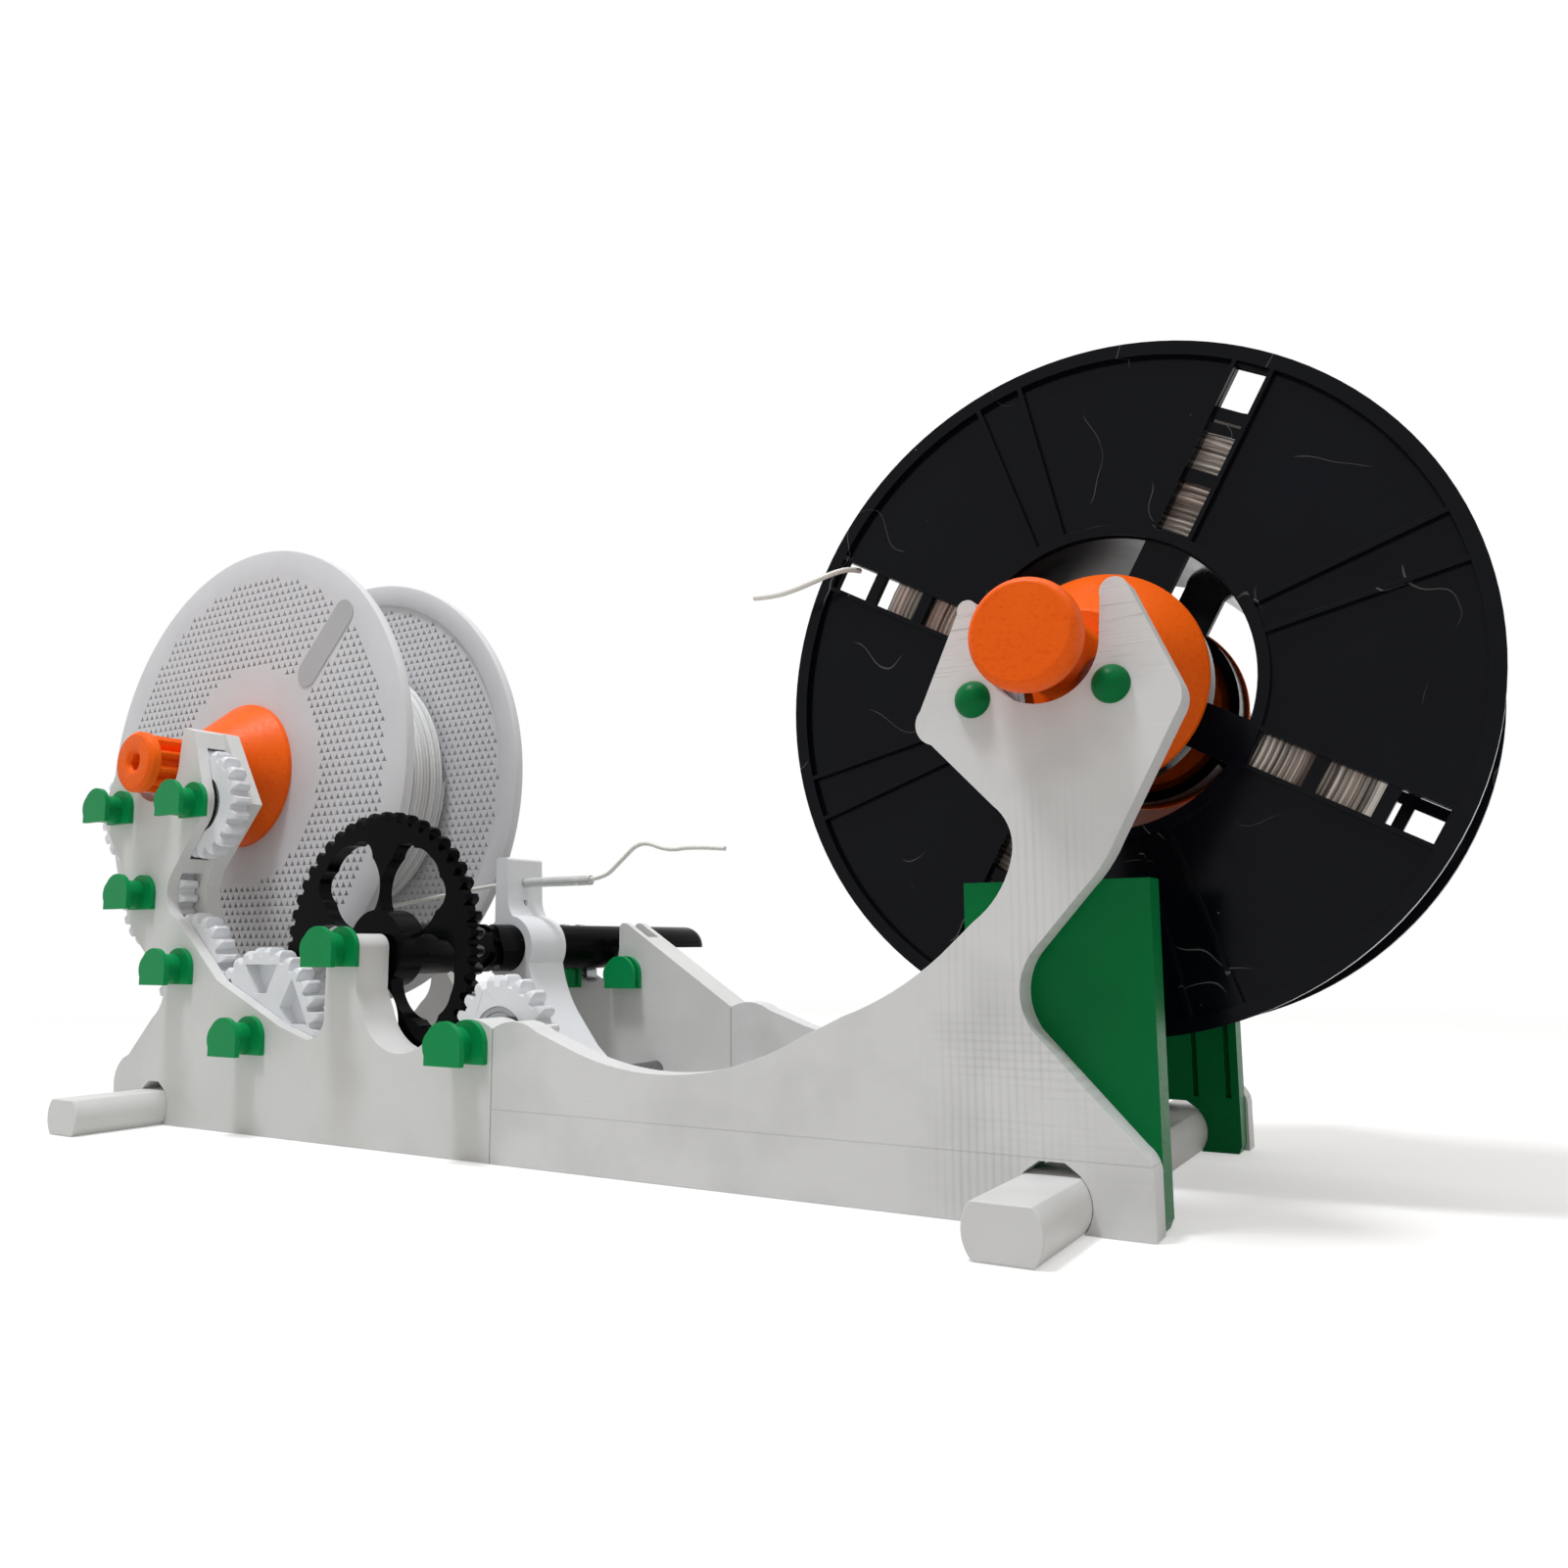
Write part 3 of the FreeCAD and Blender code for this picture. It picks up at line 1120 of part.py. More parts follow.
def build_end_knob(node, x, start):
    """Knob on an axle's rear end."""
    radius = S.end_knob_radius
    bore = S.axle_radius + S.fit_clearance
    end = start + S.end_knob_length
    knob = lathe(node + "_turned", x, S.axle_height,
                 [(bore, start), (radius, start), (radius, end - 2), (radius - 2, end), (bore, end)])
    keep(knob, node)


def build_cone(node, x, face, length, inward):
    """Clamping cone against a spool face. Inward is +1 for a front cone and -1 for a rear cone."""
    bore = S.axle_radius + S.fit_clearance
    plug = S.bore_radius - S.bore_clearance
    outer = face - inward * length
    rim = face - inward * S.cone_rim
    inner = face + inward * S.cone_plug_length
    cone = lathe(node + "_turned", x, S.axle_height,
                 [(bore, outer), (S.cone_nose_radius, outer), (S.cone_radius, rim), (S.cone_radius, face),
                  (plug, face), (plug - S.cone_plug_taper, inner), (bore, inner)])
    keep(cone, node)


def build_white_spool():
    """White spool: plain bore ring, flanges with a thicker rim, hollow core, bare pill on the front."""
    near = S.white_front
    far = near + S.white_width
    rim_near = near + S.white_rim
    rim_far = far - S.white_rim
    in_near = near + S.white_flange
    in_far = far - S.white_flange
    hollow = S.core_radius - S.core_wall
    rim = WHITE_RIM_RADIUS
    body = lathe("white_turned", TAKE_UP_X, S.axle_height,
                 [(S.bore_radius, near), (S.spool_radius, near), (S.spool_radius, rim_near), (rim, rim_near),
                  (rim, in_near), (S.core_radius, in_near), (S.core_radius, in_far), (rim, in_far),
                  (rim, rim_far), (S.spool_radius, rim_far), (S.spool_radius, far), (S.bore_radius, far),
                  (S.bore_radius, in_far), (hollow, in_far), (hollow, in_near), (S.bore_radius, in_near)])
    half = float(S.pill_width) / 2
    inner = float(S.pill_inner) + half
    outer = float(S.spool_radius - S.pill_edge) - half

    def at(radius, across):
        return turned(0, 0, radius, across, S.pill_angle)

    pill = outline(at(inner, half), [at(outer, half), at(outer + half, 0) + at(outer, -half),
                                     at(inner, -half), at(inner - half, 0) + at(inner, half)])
    field = plate("white_pill", Part.Face(pill), near - S.pill_height, S.pill_height + 1, x=TAKE_UP_X,
                  z=S.axle_height)
    keep(fuse("white_body", [body, field]), "white_spool")


def flange_sheet():
    """Flange of the black spool about its axis: sheet with windows, and the hub opening with spokes."""
    face = Part.Face(ring_wire(0, 0, S.spool_radius))
    half = float(S.window_width) / 2
    holes = []
    first = float(S.hub_ring_outer) + 0.5
    length = float(S.window_length)
    for arm in range(4):
        angle = float(S.channel_angle) + 90 * arm
        for index in range(3):
            inner = first + index * (length + float(S.window_gap))
            outer = min(inner + length, float(BLACK_RIM_RADIUS) - 1)
            holes.append(Part.Face(turned_box(0, 0, inner, outer, half, half, angle)))
    opening = Part.Face(ring_wire(0, 0, S.hub_ring_inner))
    keepers = [Part.Face(ring_wire(0, 0, S.bore_radius + S.bore_ring_wall))]
    for arm in range(4):
        angle = float(S.channel_angle) + 90 * arm
        spoke = float(S.spoke_width) / 2
        keepers.append(Part.Face(turned_box(0, 0, S.bore_radius, S.hub_ring_outer, spoke, spoke, angle)))
    opening = opening.cut(keepers)
    holes += opening.Faces
    holes.append(Part.Face(ring_wire(0, 0, S.bore_radius)))
    return first_face(face.cut(holes))


def flange_ribs():
    """Raised parts of the black flange: rim, hub ring, channel sides and tapering pairs."""
    wide = float(S.rib_width)
    inner = float(S.hub_ring_outer) - 0.5
    outer = float(BLACK_RIM_RADIUS) + 0.5
    rim = Part.Face(ring_wire(0, 0, S.spool_radius)).cut(Part.Face(ring_wire(0, 0, BLACK_RIM_RADIUS)))
    hub = Part.Face(ring_wire(0, 0, S.hub_ring_outer)).cut(Part.Face(ring_wire(0, 0, S.hub_ring_inner)))
    faces = [rim, hub]
    for arm in range(4):
        for sign in (-1, 1):
            angle = float(S.channel_angle) + 90 * arm
            middle = sign * (float(S.channel_width) - wide) / 2
            faces.append(bar_between(inner, middle, outer, middle, wide, angle))
            angle = float(S.rib_pair_angle) + 90 * arm
            faces.append(bar_between(inner, sign * float(S.rib_pair_inner) / 2, outer,
                                     sign * float(S.rib_pair_outer) / 2, wide, angle))
    return faces[0].fuse(faces[1:]).removeSplitter()


def bar_between(inner, across_inner, outer, across_outer, wide, angle):
    """A straight rib between two radii, each with its own distance across."""
    half = wide / 2
    corners = [turned(0, 0, inner, across_inner - half, angle), turned(0, 0, outer, across_outer - half, angle),
               turned(0, 0, outer, across_outer + half, angle), turned(0, 0, inner, across_inner + half, angle)]
    return Part.Face(outline(corners[0], corners[1:]))


def build_black_spool():
    """Black spool: ribbed flanges with windows, hollow core, bore rings on four spokes."""
    near = BLACK_FRONT
    far = BLACK_BACK
    sheet = flange_sheet()
    ribs = flange_ribs()
    pieces = []
    for name, start, rib_start in (("near", near + S.rib_height, near),
                                   ("far", far - S.rib_height - S.black_flange, far - S.rib_height)):
        pieces.append(plate("black_sheet_" + name, sheet, start, S.black_flange, x=SUPPLY_X,
                            z=S.axle_height))
        pieces.append(plate("black_ribs_" + name, ribs, rib_start, S.rib_height, x=SUPPLY_X,
                            z=S.axle_height))
    hollow = S.core_radius - S.core_wall
    start = near + S.rib_height
    end = far - S.rib_height
    pieces.append(lathe("black_core", SUPPLY_X, S.axle_height,
                        [(hollow, start), (S.core_radius, start), (S.core_radius, end), (hollow, end)]))
    for name, low, high in (("near", near, start + S.black_flange + 6), ("far", end - S.black_flange - 6, far)):
        outer = S.bore_radius + S.bore_ring_wall
        pieces.append(lathe("black_bore_" + name, SUPPLY_X, S.axle_height,
                            [(S.bore_radius, low), (outer, low), (outer, high), (S.bore_radius, high)]))
    keep(fuse("black_body", pieces), "black_spool")


# Windings


def tangent_arc(start, corner, end):
    """The arc that leaves start towards a corner and arrives at end from it, with both ways equally long."""
    towards = (start + end) / 2 - corner
    half_turn = corner.sub(start).getAngle(end.sub(corner)) / 2
    leg = (corner - start).Length
    radius = leg / math.tan(half_turn)
    reach = radius / math.cos(half_turn) - radius
    return Part.Arc(start, corner + towards.normalize() * reach, end).toShape()


def biarc(start, start_way, end, end_way):
    """Two arcs that share a tangent between them and fit the directions at both ends."""
    span = end - start
    both = start_way + end_way
    slack = 2 * (1 - start_way.dot(end_way))
    lean = span.dot(both)
    leg = (-lean + math.sqrt(lean * lean + slack * span.dot(span))) / slack
    first = start + start_way * leg
    last = end - end_way * leg
    joint = (first + last) / 2
    return [tangent_arc(start, first, joint), tangent_arc(joint, last, end)]


def least_gap(path, radius, diameter):
    """The least distance between the surfaces of neighbouring turns, from points along the path."""
    step = radius / 12
    loop = int(2 * math.pi * radius / step)
    spots = path.discretize(Distance=step)
    least = 10 * diameter
    for index, here in enumerate(spots):
        for other in range(index + loop // 2, min(index + loop * 3 // 2, len(spots) - 1)):
            side = spots[other + 1] - spots[other]
            offset = here - spots[other]
            along = min(max(offset.dot(side) / side.dot(side), 0), 1)
            least = min(least, (offset - side * along).Length)
    return least - diameter


def winding_shape(name, radius, low, high, loops):
    """One unbroken tube wound from one flange to the other, each half turn a pair of arcs."""
    dia = float(S.filament)
    pitch = (high - low - dia) / loops
    start_y = low + dia / 2
    rise = pitch / (2 * math.pi)
    slope = math.hypot(radius, rise)

    def at(angle):
        return Vector(radius * math.cos(angle), start_y + rise * angle, radius * math.sin(angle))

    def way(angle):
        return Vector(-radius * math.sin(angle) / slope, rise / slope, radius * math.cos(angle) / slope)

    last = 2 * math.pi * loops
    edges = [Part.LineSegment(at(0) - way(0) * dia, at(0)).toShape()]
    for index in range(loops * 4):
        near = math.pi / 2 * index
        far = near + math.pi / 2
        edges += biarc(at(near), way(near), at(far), way(far))
    edges.append(Part.LineSegment(at(last), at(last) + way(last) * dia).toShape())
    path = Part.Wire(edges)
    section = Part.Wire([Part.Circle(at(0) - way(0) * dia, way(0), dia / 2).toShape()])
    tube = path.makePipeShell([section], True, False)
    area = math.pi * dia * dia / 4
    print(name, "length", round(path.Length, 1), "least gap", round(least_gap(path, radius, dia), 3),
          "volume ratio", round(tube.Volume / (area * path.Length), 4))
    return tube


def build_winding(prefix, x, low, high, radius, loops):
    """The outer layer over a plain core that stands for the layers under it."""
    dia = S.filament
    core = radius - dia - S.layer_gap
    keep(lathe(prefix + "_core", x, S.axle_height,
               [(S.core_radius + S.fit_clearance, low), (core, low), (core, high),
                (S.core_radius + S.fit_clearance, high)]), prefix + "_winding_core")
    shape = winding_shape(prefix, float(radius - dia / 2), float(low), float(high), int(float(loops)))
    turns = place(solid(prefix + "_turns", shape), x, 0, S.axle_height)
    keep(turns, prefix + "_winding_turns")


def build_windings():
    gap = S.wound_side_gap
    build_winding("white", TAKE_UP_X, S.white_front + S.white_rim + gap,
                  WHITE_BACK - S.white_rim - gap, S.white_wound_radius, S.white_loops)
    build_winding("supply", SUPPLY_X, BLACK_FRONT + S.rib_height + S.black_flange + gap,
                  BLACK_BACK - S.rib_height - S.black_flange - gap, S.supply_wound_radius,
                  S.supply_loops)


# Free filament


def cord(name, points, diameter):
    """A tube along straight runs joined by tangent arcs, each as large as its two runs allow."""
    edges = []
    radii = []
    here = points[0]
    for index in range(1, len(points) - 1):
        before = points[index] - points[index - 1]
        after = points[index + 1] - points[index]
        setback = 0.45 * min(before.Length, after.Length)
        radii.append(round(setback / math.tan(before.getAngle(after) / 2), 1))
        start = points[index] - Vector(before).normalize() * setback
        end = points[index] + Vector(after).normalize() * setback
        edges.append(Part.LineSegment(here, start).toShape())
        edges.append(tangent_arc(start, points[index], end))
        here = end
    edges.append(Part.LineSegment(here, points[-1]).toShape())
    path = Part.Wire(edges)
    way = (points[0] - points[1]).normalize()
    section = Part.Wire([Part.Circle(points[0], way, diameter / 2).toShape()])
    tube = path.makePipeShell([section], True, False)
    area = math.pi * diameter ** 2 / 4
    print(name, "length", round(path.Length, 1), "radii", radii, "volume ratio",
          round(tube.Volume / (area * path.Length), 4))
    return tube


def build_filament():
    """Clear filament: from under the white winding through the guide to its bent free end."""
    guide_y = float(S.guide_front + S.guide_depth / 2)
    hole = float(GUIDE_HOLE)
    shaft_x = float(SHAFT.x)
    wound = float(S.white_wound_radius) + float(S.filament) / 2 + 0.3
    axle = Vector(float(TAKE_UP_X), guide_y, float(S.axle_height))
    mouth = Vector(shaft_x - float(S.guide_left) - float(S.tube_mouth), guide_y, hole)
    reach = axle - mouth
    lean = math.atan2(reach.z, reach.x) + math.asin(wound / reach.Length)
    length = (reach.Length ** 2 - wound ** 2) ** 0.5
    way = Vector(math.cos(lean), 0, math.sin(lean))
    tail = Vector(shaft_x - float(S.guide_left) + float(S.tube_length) + float(S.tube_end), guide_y, hole)
    free = [(9.0, 0.0, 7.0), (19.5, -0.6, 15.0), (33.0, -1.0, 10.0), (45.0, -1.6, 11.2), (60.0, -2.0, 9.6)]
    inside = Vector((mouth.x + tail.x) / 2, guide_y, hole + 0.03)
    points = [mouth + way * (length - 2.0), mouth + way * (length / 2) - Vector(0, 0.4, 0.5), mouth, inside,
              tail]
    points += [tail + Vector(*step) for step in free]
    feed = place(solid("feed", cord("filament_feed", points, float(S.filament))), 0, 0, 0)
    keep(feed, "filament_feed")

    angle = float(S.channel_angle) + 90
    exit_radius = float(BLACK_RIM_RADIUS) - 5.5
    beside = float(S.filament) / 2 + 0.25 - float(S.window_width) / 2
    x, z = turned(float(SUPPLY_X), float(S.axle_height), exit_radius, beside, angle)
    face = float(BLACK_FRONT)
    start = Vector(x, face + 3.5, z)
    steps = [(-0.8, -5.0, -0.5), (-3.9, -9.6, -2.4), (-9.3, -12.6, -5.0), (-16.0, -13.9, -7.2),
             (-24.0, -14.2, -8.4), (-32.0, -13.7, -7.6)]
    points = [start] + [start + Vector(*step) for step in steps]
    loose = place(solid("loose", cord("supply_filament_end", points, float(S.filament))), 0, 0, 0)
    keep(loose, "supply_filament_end")


def check_and_export():
    """Recomputes, stops at any failed object, and writes each piece to its file."""
    DOC.recompute()
    failed = [item.Name for item in DOC.Objects if "Invalid" in item.State or "Error" in item.State]
    if failed:
        raise RuntimeError("failed objects: " + ", ".join(failed))
    for item in PARTS:
        shape = item.Shape
        if shape.isNull() or not shape.isValid() or shape.Volume <= 0:
            raise RuntimeError("bad shape: " + item.Label)
    os.makedirs("parts", exist_ok=True)
    for item in PARTS:
        item.Shape.exportStep("parts/%s.step" % item.Label)
    print(len(PARTS), "parts")


def main():
    build_front_left()
    build_front_right()
    build_rear_left()
    build_rear_right()
    build_rods()
    build_brace("front_brace", S.right_thickness, S.brace_right, False)
    build_brace("rear_brace", REAR_FRAME_FRONT - S.brace_thickness, S.rear_brace_right, True)
    build_rail()
    build_pins()
    build_bearings()
    build_bearing_gear("idler_gear_left", IDLER_LEFT, GEAR_FRONT)
    build_bearing_gear("idler_gear_right", IDLER_RIGHT, GEAR_FRONT)
    build_bearing_gear("transfer_gear", TRANSFER, GEAR_FRONT)
    build_bearing_gear("lower_gear", LOWER, GEAR_FRONT)
    build_compound()
    build_shaft()
    build_bearing_gear("end_gear", END, S.rear_gear_front)
    build_guide()
    build_take_up_axle()
    build_supply_axle()
    build_end_knob("take_up_end_knob", TAKE_UP_X, REAR_LEFT_BACK + S.end_knob_gap)
    build_end_knob("supply_end_knob", SUPPLY_X, REAR_FRAME_FRONT + S.right_thickness + S.end_knob_gap)
    build_cone("take_up_cone_front", TAKE_UP_X, S.white_front, S.cone_length, 1)
    build_cone("take_up_cone_rear", TAKE_UP_X, WHITE_BACK, S.cone_length, -1)
    build_cone("supply_cone_front", SUPPLY_X, BLACK_FRONT, S.cone_length, 1)
    build_cone("supply_cone_rear", SUPPLY_X, BLACK_BACK, S.short_cone_length, -1)
    build_white_spool()
    build_black_spool()
    build_windings()
    build_filament()
    check_and_export()


main()
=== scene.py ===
"""Looks of a filament spool winder: printed PLA frames and gears, ball bearings, two spools with their
windings, a grooved shaft with its guide arm, and the free filament. Metres, in the frame of the CAD part.
"""

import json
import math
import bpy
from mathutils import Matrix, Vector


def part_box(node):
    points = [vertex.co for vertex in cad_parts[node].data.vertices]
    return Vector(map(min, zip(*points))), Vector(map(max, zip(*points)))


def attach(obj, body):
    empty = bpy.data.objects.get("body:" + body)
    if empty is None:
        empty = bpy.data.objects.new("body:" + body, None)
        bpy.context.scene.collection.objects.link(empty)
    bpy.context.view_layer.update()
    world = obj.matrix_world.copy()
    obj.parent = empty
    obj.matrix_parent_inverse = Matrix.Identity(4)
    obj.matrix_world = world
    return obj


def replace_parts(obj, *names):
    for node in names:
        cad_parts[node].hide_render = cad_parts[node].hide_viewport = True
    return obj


bl_info = {
    "name": "Filament spool winder",
    "version": (1, 0, 0),
    "blender": (4, 5, 0),
    "location": "View3D > Sidebar > Winder",
    "description": "Dresses the packed spool winder with its printed, moulded and wound pieces",
    "category": "Object",
}

import bmesh
import bpy
import numpy as np
from bpy.props import FloatProperty, FloatVectorProperty, IntProperty, PointerProperty
from mathutils import Matrix, Vector
from mathutils.geometry import delaunay_2d_cdt

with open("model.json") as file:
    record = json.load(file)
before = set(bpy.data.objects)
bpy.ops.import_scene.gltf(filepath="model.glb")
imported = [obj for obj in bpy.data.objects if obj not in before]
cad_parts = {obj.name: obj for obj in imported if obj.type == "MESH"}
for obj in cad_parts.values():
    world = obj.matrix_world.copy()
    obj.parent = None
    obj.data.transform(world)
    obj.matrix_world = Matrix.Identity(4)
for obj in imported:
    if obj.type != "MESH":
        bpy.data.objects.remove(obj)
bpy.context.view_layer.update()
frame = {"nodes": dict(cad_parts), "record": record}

MM = 0.001
# The height of both axles and their places, where the halves of the frames meet, and the filament's diameter.
AXLE_Z = 0.1404
TAKE_UP_X = -0.1845
SUPPLY_X = 0.1845
JOINT_X = 0.004
FILAMENT = 0.00175

RECORD_SLOTS = {subpart["node"]: subpart["material_slot"] for subpart in frame["record"]["subparts"]}
NODE_BODY = {member: body for body, members in frame["record"]["behaviour"]["bodies"].items()
             for member in members}


# Colours and nodes


def linear(hex_colour):
    """The linear colour of an sRGB hex value: below a small threshold a straight line, above it a power."""
    values = [int(hex_colour[start:start + 2], 16) / 255 for start in (1, 3, 5)]
    out = [value / 12.92 if value <= 0.04045 else ((value + 0.055) / 1.055) ** 2.4 for value in values]
    return (*out, 1.0)


def add(tree, kind, settings=None, links=None):
    """Adds a node. Settings go to its properties or sockets, links join its sockets to other outputs."""
    node = tree.nodes.new(kind)
    for key, value in (settings or {}).items():
        if isinstance(key, str) and hasattr(node, key):
            setattr(node, key, value)
        else:
            node.inputs[key].default_value = value
    for key, output in (links or {}).items():
        tree.links.new(output, node.inputs[key])
    return node


def new_material(name, scale=(1000, 1000, 1000)):
    """An empty material: itself, the tree to fill, its output node, and Object coordinates. These are in
    millimetres, so that a noise of scale 0.05 makes patches of about 20 mm, or stretched by another scale."""
    material = bpy.data.materials.new(name)
    material.use_nodes = True
    tree = material.node_tree
    tree.nodes.clear()
    out = add(tree, "ShaderNodeOutputMaterial")
    origin = add(tree, "ShaderNodeTexCoord")
    place = add(tree, "ShaderNodeMapping", {"Scale": scale}, {"Vector": origin.outputs["Object"]})
    return material, tree, out, place.outputs[0]


# A wave texture of scale one repeats after this length.
WAVE_REPEAT = 0.3142
# Layers of 0.2 mm are drawn this wide, or they would not show.
DRAWN_LAYER = 0.8
# The lines of an ironed last layer stand this far apart.
PASS_PITCH = 2.1
# Millimetres along X and along Z where the upright and the level passes fade in and out again.
UPRIGHT_SPAN = (148.0, 160.0, 184.0, 200.0)
LEVEL_SPAN = (12.0, 24.0, 48.0, 62.0)
# Where the upright passes fade in down the leg, the level ones to the right along the foot, and the scratches
# up the head.
DOWN_LEG = (112.0, 92.0)
ALONG_FOOT = (150.0, 168.0)
UP_HEAD = (128.0, 150.0)


def pass_lines(tree, place, parts, axis, stretch, span):
    """Even lines across an axis. A noise that is long in the lines' direction breaks them, and all of them
    fade in and out over the four places of the span."""
    waves = add(tree, "ShaderNodeTexWave", {"bands_direction": axis, "Scale": WAVE_REPEAT / PASS_PITCH,
                                            "Distortion": 1.2, "Detail": 2.0, "Detail Scale": 0.25},
                {"Vector": place})
    lines = add(tree, "ShaderNodeMapRange", {"From Min": 0.45, "From Max": 0.95},
                {"Value": waves.outputs[1]})
    where = add(tree, "ShaderNodeMapping", {"Scale": stretch}, {"Vector": place})
    spread = add(tree, "ShaderNodeTexNoise", {"Scale": 1.0, "Detail": 3.0, "Roughness": 0.7},
                 {"Vector": where.outputs[0]})
    patchy = add(tree, "ShaderNodeMapRange", {"From Min": 0.4, "From Max": 0.62},
                 {"Value": spread.outputs[0]})
    rising = add(tree, "ShaderNodeMapRange", {"From Min": span[0], "From Max": span[1]},
                 {"Value": parts.outputs[axis]})
    falling = add(tree, "ShaderNodeMapRange", {"From Min": span[3], "From Max": span[2]},
                  {"Value": parts.outputs[axis]})
    inside = add(tree, "ShaderNodeMath", {"operation": "MULTIPLY"},
                 {0: rising.outputs[0], 1: falling.outputs[0]})
    here = add(tree, "ShaderNodeMath", {"operation": "MULTIPLY"},
               {0: inside.outputs[0], 1: patchy.outputs[0]})
    return add(tree, "ShaderNodeMath", {"operation": "MULTIPLY"},
               {0: lines.outputs[0], 1: here.outputs[0]})


def last_layer_marks(tree, place, parts):
    """The marks of an ironed last layer: upright lines up the leg to the neck, fainter level lines at the
    foot, and scratches across the head. Gives one value, nought where the plastic is smooth."""
    upright = pass_lines(tree, place, parts, "X", (0.09, 0.05, 0.012), UPRIGHT_SPAN)
    low = add(tree, "ShaderNodeMapRange",
              {"From Min": DOWN_LEG[0], "From Max": DOWN_LEG[1], "To Max": 0.75},
              {"Value": parts.outputs["Z"]})
    leg = add(tree, "ShaderNodeMath", {"operation": "MULTIPLY"}, {0: upright.outputs[0], 1: low.outputs[0]})
    level = pass_lines(tree, place, parts, "Z", (0.012, 0.05, 0.09), LEVEL_SPAN)
    right = add(tree, "ShaderNodeMapRange",
                {"From Min": ALONG_FOOT[0], "From Max": ALONG_FOOT[1], "To Max": 0.5},
                {"Value": parts.outputs["X"]})
    foot = add(tree, "ShaderNodeMath", {"operation": "MULTIPLY"}, {0: level.outputs[0], 1: right.outputs[0]})
    streak = add(tree, "ShaderNodeMapping", {"Scale": (0.035, 0.2, 1.5), "Rotation": (0, 0.05, 0)},
                 {"Vector": place})
    cuts = add(tree, "ShaderNodeTexNoise", {"Scale": 1.0, "Detail": 5.0, "Roughness": 0.7},
               {"Vector": streak.outputs[0]})
    thin = add(tree, "ShaderNodeMapRange", {"From Min": 0.55, "From Max": 0.6, "To Max": 2.0},
               {"Value": cuts.outputs[0]})
    high = add(tree, "ShaderNodeMapRange", {"From Min": UP_HEAD[0], "From Max": UP_HEAD[1]},
               {"Value": parts.outputs["Z"]})
    head = add(tree, "ShaderNodeMath", {"operation": "MULTIPLY"}, {0: thin.outputs[0], 1: high.outputs[0]})
    lower = add(tree, "ShaderNodeMath", {"operation": "ADD"}, {0: leg.outputs[0], 1: foot.outputs[0]})
    marks = add(tree, "ShaderNodeMath", {"operation": "ADD"}, {0: lower.outputs[0], 1: head.outputs[0]})
    return marks.outputs[0]


